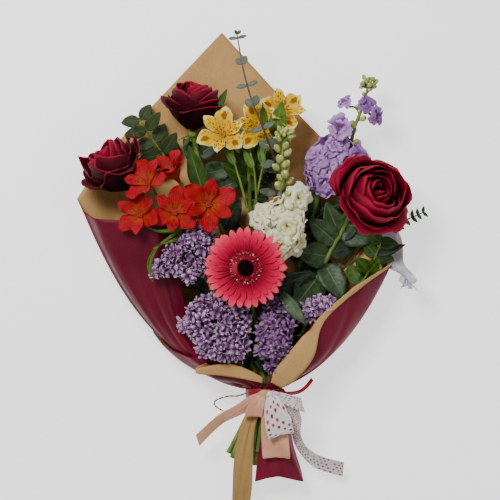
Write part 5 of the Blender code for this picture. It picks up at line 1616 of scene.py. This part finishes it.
def ruffled_floret(rng, material, radius, rings=DOUBLE_RINGS):
    """A double floret: rings of ruffled petals round +Z."""
    petals = []
    for count, size, rise in rings:
        for n in range(count):
            turn = Matrix.Rotation(math.tau * n / count + rise * 2 + rng.uniform(-0.25, 0.25), 4, "Z")
            phase = rng.uniform(0, 6)
            reach = radius * size * rng.uniform(0.85, 1.1)

            def place(u, v):
                wide = reach * 0.70 * (0.12 + 0.88 * math.sin(math.pi / 2 * min(v * 1.2, 1.0)))
                along = reach * (0.06 + 0.94 * v * (1 - 0.22 * u * u * v))
                ruffle = 0.17 * math.sin(phase + u * 3.2) + 0.05 * math.sin(phase * 3 + u * 7.5)
                high = reach * (rise * math.sin(v * 1.9) - 0.30 * v * v) + reach * v * v * ruffle
                along += reach * v * v * 0.08 * math.sin(phase * 2 + u * 7)
                return turn @ Vector((along, u * wide, high))

            petals.append(skin("petal", 8, 6, place, FLORET_THICK, material, tint=rng.random() * 0.5))
    return join("floret", petals)


def lilac_floret(openness):
    """Four small petals on a tube, along +Z."""
    width = outline(0.52, 0.90)
    petals = []
    for n in range(4):
        turn = Matrix.Rotation(math.tau * n / 4, 4, "Z")

        def place(u, v):
            along = 0.0004 + 0.0062 * v
            high = 0.0032 * openness * v - 0.0006 * v * v + 0.0008 * abs(u) * v
            return turn @ Vector((along, u * 0.0025 * width(0.14 + 0.78 * v), high))

        petals.append(skin("petal", 2, 2, place, FLORET_THICK, LILAC))
    return join("floret", petals)


def head_core(centre, radii, turn, share, material, **beads):
    """The body that shows between the florets of a head, in a dark tone: painted shade in the gaps
    between them.
    """
    core = bead("core", centre, [r * share for r in radii], material, **beads)
    core.data.transform(Matrix.Translation(centre) @ turn @ Matrix.Translation(-centre))
    return core


def head(name, spots, sources, core, rng, scale, slot, node, loose, shade):
    """A head of florets, a copy of one of the sources at each spot round its core."""
    pieces = [core]
    for place, facing in spots:
        lean = (facing + Vector(rng.uniform(-1, 1) for _ in range(3)) * loose).normalized()
        turn = placed(place, lean, rng.uniform(*scale), rng.uniform(0, 6))
        pieces.append(copied(rng.choice(sources), turn, rng.uniform(*shade)))
    drop(*sources)
    stands_for(join(name, pieces), slot, node)


def stock_head(name, centre, radii, lean, count, material, slot, seed, reach, extra):
    rng = random.Random(seed)
    centre = mm(*centre)
    turn = Matrix.Rotation(math.radians(lean), 4, "Z")
    size = [r * 0.001 for r in radii]
    # The core takes the full tint, the darkest tone of its finish, as painted shade between the florets.
    core = head_core(centre, size, turn, 0.8, material, tint=1.0)
    sources = [ruffled_floret(rng, material, reach) for _ in range(4)]
    spots = []
    for place, facing in over_ball(count, size):
        sunk = rng.choice((0.0, 0.0015, 0.004))
        spots.append((centre + turn @ (place - facing * sunk), turn @ facing))
    spots += [(mm(*place), Vector(facing)) for place, facing in extra]
    head(
        name + "_ruffled_florets", spots, sources, core, rng, (0.85, 1.1),
        slot, name + "_florets", 0.3, (0.0, 0.7),
    )


def bud(tip_material, length):
    """A closed bud with a coloured tip that shows between its sepals, along +Z."""
    middle, wide, high = length * 0.55, length * 0.37, length * 0.50
    body = bead("bud", Vector((0, 0, middle)), (wide, wide, high), BUD_GREEN, rings=8)
    middle, wide, high = length * 0.86, length * 0.20, length * 0.22
    tip = bead("tip", Vector((0, 0, middle)), (wide, wide, high), tip_material, segments=8, rings=6)
    return join("bud", [body, tip])


def bud_spike(name, route, radii, count, seed, tip_material, slot, node, crowd, tip, reach, florets=()):
    """The upper end of a stock: its stem with buds in a spiral, smaller towards the tip."""
    rng = random.Random(seed)
    points = smooth([mm(*p) for p in route], 6)
    last = len(points) - 1
    radii = [between(*radii, n / last) for n in range(last + 1)]
    pieces = [stalk("stem", points, radii, GREEN_STEM, resolution=2)]
    source = bud(tip_material, 0.010)
    for n in range(count):
        share = (n + 0.5) / count
        span, rest = span_at(share, last)
        point = between(points[span], points[span + 1], rest)
        ahead = (points[span + 1] - points[span]).normalized()
        out = Matrix.Rotation(n * GOLDEN, 3, ahead) @ ahead.orthogonal().normalized()
        lean = (out + ahead * (0.7 + 0.9 * share) + Vector((0, 0, 0.3))).normalized()
        scale = (1.12 - 0.55 * share) * rng.uniform(0.7, 1.15) * crowd
        foot = point + lean * rng.uniform(0.001, 0.006)
        pieces.append(stalk("bud_foot", [point, foot + lean * 0.001], [0.0008, 0.0009], GREEN_STEM))
        pieces.append(copied(source, placed(foot, lean, scale), rng.random()))
    crown, ahead = points[-1], (points[-1] - points[-2]).normalized()
    for direction in spiral(tip, 1.1):
        lean = upright(ahead) @ direction
        foot = crown - ahead * 0.002 + lean * reach * rng.uniform(0.35, 1.0)
        low = crown - ahead * 0.004
        pieces.append(stalk("bud_foot", [low, foot + lean * 0.001], [0.0007, 0.0008], GREEN_STEM))
        pieces.append(copied(source, placed(foot, lean, rng.uniform(0.48, 0.78)), rng.random()))
    drop(source)
    if florets:
        open_floret = ruffled_floret(random.Random(9), PURPLE, HALF_OPEN_RADIUS, HALF_OPEN_RINGS)
        for place, facing, radius in florets:
            centre = mm(*place)
            nearest = min(points, key=lambda p: (p - centre).length)
            lean = Vector(facing).normalized()
            turn = placed(centre, lean, radius / HALF_OPEN_RADIUS, rng.uniform(0, 1))
            pieces.append(copied(open_floret, turn, rng.random()))
            line = [nearest, between(nearest, centre, 0.5), centre - lean * 0.004]
            pieces.append(stalk("pedicel", line, [0.0011, 0.0011, 0.0013], GREEN_STEM))
            calyx = (0.0019, 0.0019, 0.0045)
            foot = centre - lean * 0.003
            pieces.append(bead("calyx", foot, calyx, BUD_GREEN, lean, segments=8, rings=6))
        drop(open_floret)
    stands_for(join(name, pieces), slot, node)


def lilac_head(name, centre, radii, lean, tufts, seed, shade, extra):
    """A spray of small tufts of florets round a near-black core, painted shade inside the head, with gaps
    between the tufts.
    """
    rng = random.Random(seed)
    centre = mm(*centre)
    turn = Matrix.Rotation(math.radians(lean), 4, "Z")
    size = [r * 0.001 for r in radii]
    core = head_core(centre, size, turn, 0.60, LILAC_SHADOW, segments=16, rings=12)
    sources = [lilac_floret(openness) for openness in LILAC_OPENINGS]
    tops = []
    for place, facing in over_ball(tufts, [r * 0.94 for r in size]):
        drift = Vector(rng.uniform(-1, 1) for _ in range(3)) * 0.0022
        tops.append((centre + turn @ place + drift, turn @ facing, rng.uniform(0.0062, 0.0084)))
    tops += [(mm(*place), Vector(facing).normalized(), reach * 0.001) for place, facing, reach in extra]
    spots = []
    for top, facing, reach in tops:
        frame = upright(facing, rng.uniform(0, 6))
        for direction in spiral(TUFT_FLORETS, 1.15):
            out = frame @ direction
            spots.append((top + out * reach * rng.uniform(0.5, 1.4) - facing * (reach * 0.5), out))
    head(
        name + "_flowers", spots, sources, core, rng, (0.8, 1.15),
        "lilac_petal", name + "_florets", 0.6, shade,
    )


# Each round head of stock: its middle, radii and turn in degrees; its count of florets; their
# finish, slot, seed and reach; and single florets that stand out of it
STOCK_HEADS = {
    "white_stock": (
        (31, 47, 71), (19, 26, 11), -6, 11, WHITE, "white_petal", 3, 0.0160,
        (
            ((50, 76, 73), (0.4, 0.2, 0.9)), ((12, 58, 74), (-0.5, 0.2, 0.9)),
            ((48, 30, 70), (0.6, -0.3, 0.7)),
        ),
    ),
    "purple_stock": (
        (90, 111, 41), (23, 28, 12), -38, 13, PURPLE, "purple_petal", 7, 0.0165,
        (
            ((70, 116, 48), (-0.5, 0.1, 0.8)), ((112, 122, 46), (0.6, 0.2, 0.7)),
            ((92, 134, 50), (0.0, 0.5, 0.8)),
        ),
    ),
}
# Each spike of buds: its line, its radii at the foot and the tip, its count of buds and seed,
# the finish of their tips, its slot and node, their size, and the count and reach of the
# buds at the very tip; then its open florets, with a place, a direction and a radius each
BUD_SPIKES = {
    "white_stock_bud_spike": (
        ((35.2, 77.6, 71.5), (35, 95, 78), (33, 112, 82), (34, 130, 80), (34, 142, 77)),
        (0.0024, 0.0014), 20, 4, WHITE, "white_petal", "white_stock_buds", 1.15, 26, 0.0085,
    ),
    "purple_stock_bud_spike": (
        ((107.6, 133.6, 42.2), (112, 154, 50), (119, 172, 52), (124, 188, 51), (126, 199, 49)),
        (0.0022, 0.0013), 11, 8, BUD_GREEN, "purple_petal", "purple_stock_tip", 0.95, 22, 0.0075,
        (
            ((96, 152, 55), (-0.3, 0.2, 0.9), 0.0145), ((101, 178, 57), (-0.4, 0.7, 0.6), 0.0095),
            ((132, 166, 58), (0.8, -0.2, 0.6), 0.0120), ((123, 176, 60), (0.2, 0.4, 0.9), 0.0105),
        ),
    ),
}
# Each head of lilac: its middle, radii and turn in degrees, its count of tufts, its seed, how
# far its florets are darkened (random tone, and painted shade on the centre head), and single
# tufts with a place, a direction and a reach
LILAC_HEADS = {
    "lilac_upper": (
        (-57, 23, 74), (19, 26, 13), 10, 17, 20, (0.0, 0.8),
        (
            ((-84, 16, 88), (-0.3, 0.1, 1), 6.5), ((-92, 4, 87), (-0.4, 0, 1), 6),
            ((-78, 0, 86), (-0.2, -0.2, 1), 6.5), ((-100, -3, 85), (-0.5, -0.1, 1), 4.5),
            ((-66, -8, 84), (0, -0.3, 1), 5.5), ((-44, 50, 86), (0, 0.3, 1), 5.5),
        ),
    ),
    "lilac_lower": (
        (-34, -63, 66), (28, 31, 13), 25, 24, 21, (0.0, 0.8),
        (
            ((-62, -48, 74), (-0.5, 0.2, 0.8), 6), ((-52, -34, 78), (-0.3, 0.4, 0.9), 6.5),
            ((-14, -90, 72), (0.3, -0.5, 0.8), 6), ((-38, -88, 72), (-0.1, -0.5, 0.9), 5.5),
            ((-72, -60, 66), (-0.8, 0, 0.6), 5), ((-33, -68, 77), (0, 0, 1), 6.5),
        ),
    ),
    # The centre head lies in shade: the higher tint of its florets is painted shade.
    "lilac_centre": (
        (27, -63, 64), (16, 30, 12), -8, 11, 22, (0.6, 1.1),
        (
            ((12, -88, 66), (-0.2, -0.5, 0.8), 4.5), ((34, -90, 62), (0.3, -0.5, 0.8), 5),
            ((22, -104, 58), (0, -0.6, 0.8), 3.8), ((24, -71, 73), (0.1, -0.1, 1), 5.5),
            ((21, -54, 74), (0, 0.2, 1), 5),
        ),
    ),
    "lilac_right": (
        (71, -42, 57), (11, 8, 6), 20, 6, 23, (0.1, 0.8),
        (((84, -36, 66), (0.4, 0, 0.9), 4.5), ((62, -50, 62), (-0.3, -0.3, 0.9), 5)),
    ),
}


def stocks_and_lilacs():
    for build, heads in ((stock_head, STOCK_HEADS), (bud_spike, BUD_SPIKES), (lilac_head, LILAC_HEADS)):
        for name, row in heads.items():
            build(name, *row)


# ---------------------------------------------------------------- leafy sprays

# Each spray: its name, its piece's name and slot, the finish and radius of its stem, how far
# back its leaves start, how many pairs, their length, half-width, outline and finish, the
# size of the last pair, the direction across it, and single leaves near its tip
SPRAYS = (
    (
        "oval_leaf_spray", "oval_leaf_green", "green_stem", GREEN_STEM, 0.0020,
        4.6, 5, 0.033, 0.0085, OVAL, OLIVE_LEAF, 0.8, (1, 1, 0), (),
    ),
    (
        "ovate_leaf_spray", "ovate_leaf_green", "green_stem", GREEN_STEM, 0.0020,
        3.0, 4, 0.028, 0.0095, HEART, GREEN_LEAF, 0.75, (1, -0.3, 0),
        (((1, 0.35, 0.1), UP, 0.034, 0.006, LANCE, DARK_LEAF),),
    ),
    (
        "fine_twig", "fine_twig_leaves", "dark_leaf", DARK_STEM, 0.0014,
        3.0, 7, 0.012, 0.0026, LANCE, ROSE_LEAF, 0.7, (0, 1, 0), (),
    ),
    (
        "dark_twig", "dark_twig_leaves", "dark_leaf", DARK_STEM, 0.0016,
        3.4, 6, 0.016, 0.0040, ROUND, DARK_LEAF, 0.8, (1, 0, 0), (),
    ),
)
EUCALYPTUS_PAIRS = 9
# The stems of the stocks and the lilac: their own leaves (root, direction, length and
# half-width), then the stretch, count, seed, length and half-width of the fill round them
LEAFY_STEMS = {
    "white_stock": (
        (((22, -55, 43.5), (0.2, 1, 0.8), 0.030, 0.005),), (0.40, 0.90, 12, 41, 0.038, 0.010),
    ),
    "purple_stock": (
        (
            ((66, 46, 21.5), (-0.7, 1, 0.2), 0.046, 0.007),
            ((70, 56, 22.5), (1, 0.6, 0.2), 0.040, 0.006),
        ),
        (0.36, 0.93, 20, 42, 0.042, 0.011),
    ),
    "lilac_upper": (
        (((-33, -38, 46), (0.8, 0.8, 0.2), 0.034, 0.010),), (0.45, 0.95, 8, 43, 0.034, 0.011),
    ),
    "lilac_lower": ((), (0.50, 0.95, 6, 44, 0.026, 0.008)),
    "lilac_centre": (
        (((31, -24, 72), (0.62, -0.78, 0.22), 0.046, 0.0075),), (0.50, 0.95, 8, 45, 0.026, 0.008),
    ),
    "lilac_right": (
        (((48, -83, 43.5), (0.9, -0.2, 0.6), 0.032, 0.009),), (0.50, 0.95, 6, 46, 0.028, 0.009),
    ),
}


def eucalyptus_twig():
    """Pairs of grey leaves that turn a quarter round the twig from each pair to the next."""
    twig = Green("eucalyptus", RED_STEM, 0.0014)
    last = len(twig.route) - 1
    for n in range(EUCALYPTUS_PAIRS):
        share = n / (EUCALYPTUS_PAIRS - 1)
        base = min(int(between(0.47, 0.985, share) * last), last - 1)
        forward = (twig.route[base + 1] - twig.route[base]).normalized()
        across = forward.cross(UP).normalized()
        size = 1 - 0.45 * share
        for side in (-1, 1):
            if n % 2:
                along, facing = across * (0.55 * side) + forward * 0.75 + UP * (0.2 * side), UP
                length, half = 0.0165 * size, 0.0062 * size
            else:
                along, facing = across * side + forward * 0.18, forward * 0.8 + UP * 0.8
                length, half = 0.0185 * size, 0.0056 * size
            twig.leaf(
                twig.route[base], along, facing, length, half, ROUND, GREY_LEAF, bend=-0.15, fold=0.05,
            )
    for angle in (0.0, 2.1, 4.2):
        out = (math.cos(angle), 1.0, math.sin(angle))
        twig.leaf(twig.route[-1], out, UP, 0.006, 0.0018, ROUND, GREY_LEAF)
    twig.finish("eucalyptus_leaves", "grey_leaf", "eucalyptus_twig")


def sprays():
    """Sprays with leaves in opposite pairs, smaller towards the tip."""
    for node, name, slot, bark, radius, back, count, *shape in SPRAYS:
        length, half, width, material, drop_to, across, singles = shape
        spray = Green(node, bark, radius)
        route = spray.coarse
        last = len(route) - 1
        across = Vector(across)
        for n in range(count):
            share = n / (count - 1)
            index = last - back + (back - 0.1) * share
            base = min(int(index), last - 1)
            point = route[base].lerp(route[base + 1], index - base)
            forward = (route[base + 1] - route[base]).normalized()
            size = 1 - (1 - drop_to) * share
            for side in (-1, 1):
                out = (across - forward * across.dot(forward)).normalized() * side
                roll = Matrix.Rotation(math.radians(35 * (-1) ** n) * side, 3, forward)
                spray.leaf(
                    point, roll @ out + forward * 0.35, UP, length * size, half * size,
                    width, material, bend=-0.2, fold=0.12,
                )
        for single in singles:
            spray.leaf(route[-2], *single, bend=0.2, fold=0.15)
        spray.finish(name, slot, node)


def leafy_stems():
    for name, (leaves, fill) in LEAFY_STEMS.items():
        green = Green(name)
        for root, along, length, half in leaves:
            green.leaf(root, along, UP, length, half, OVAL, ROSE_LEAF, bend=0.2, fold=0.15)
        green.foliage(*fill)
        green.finish(name + "_green", "green_stem", name + "_stem")


roses()
gerbera()
alstroemerias()
stocks_and_lilacs()
eucalyptus_twig()
sprays()
leafy_stems()
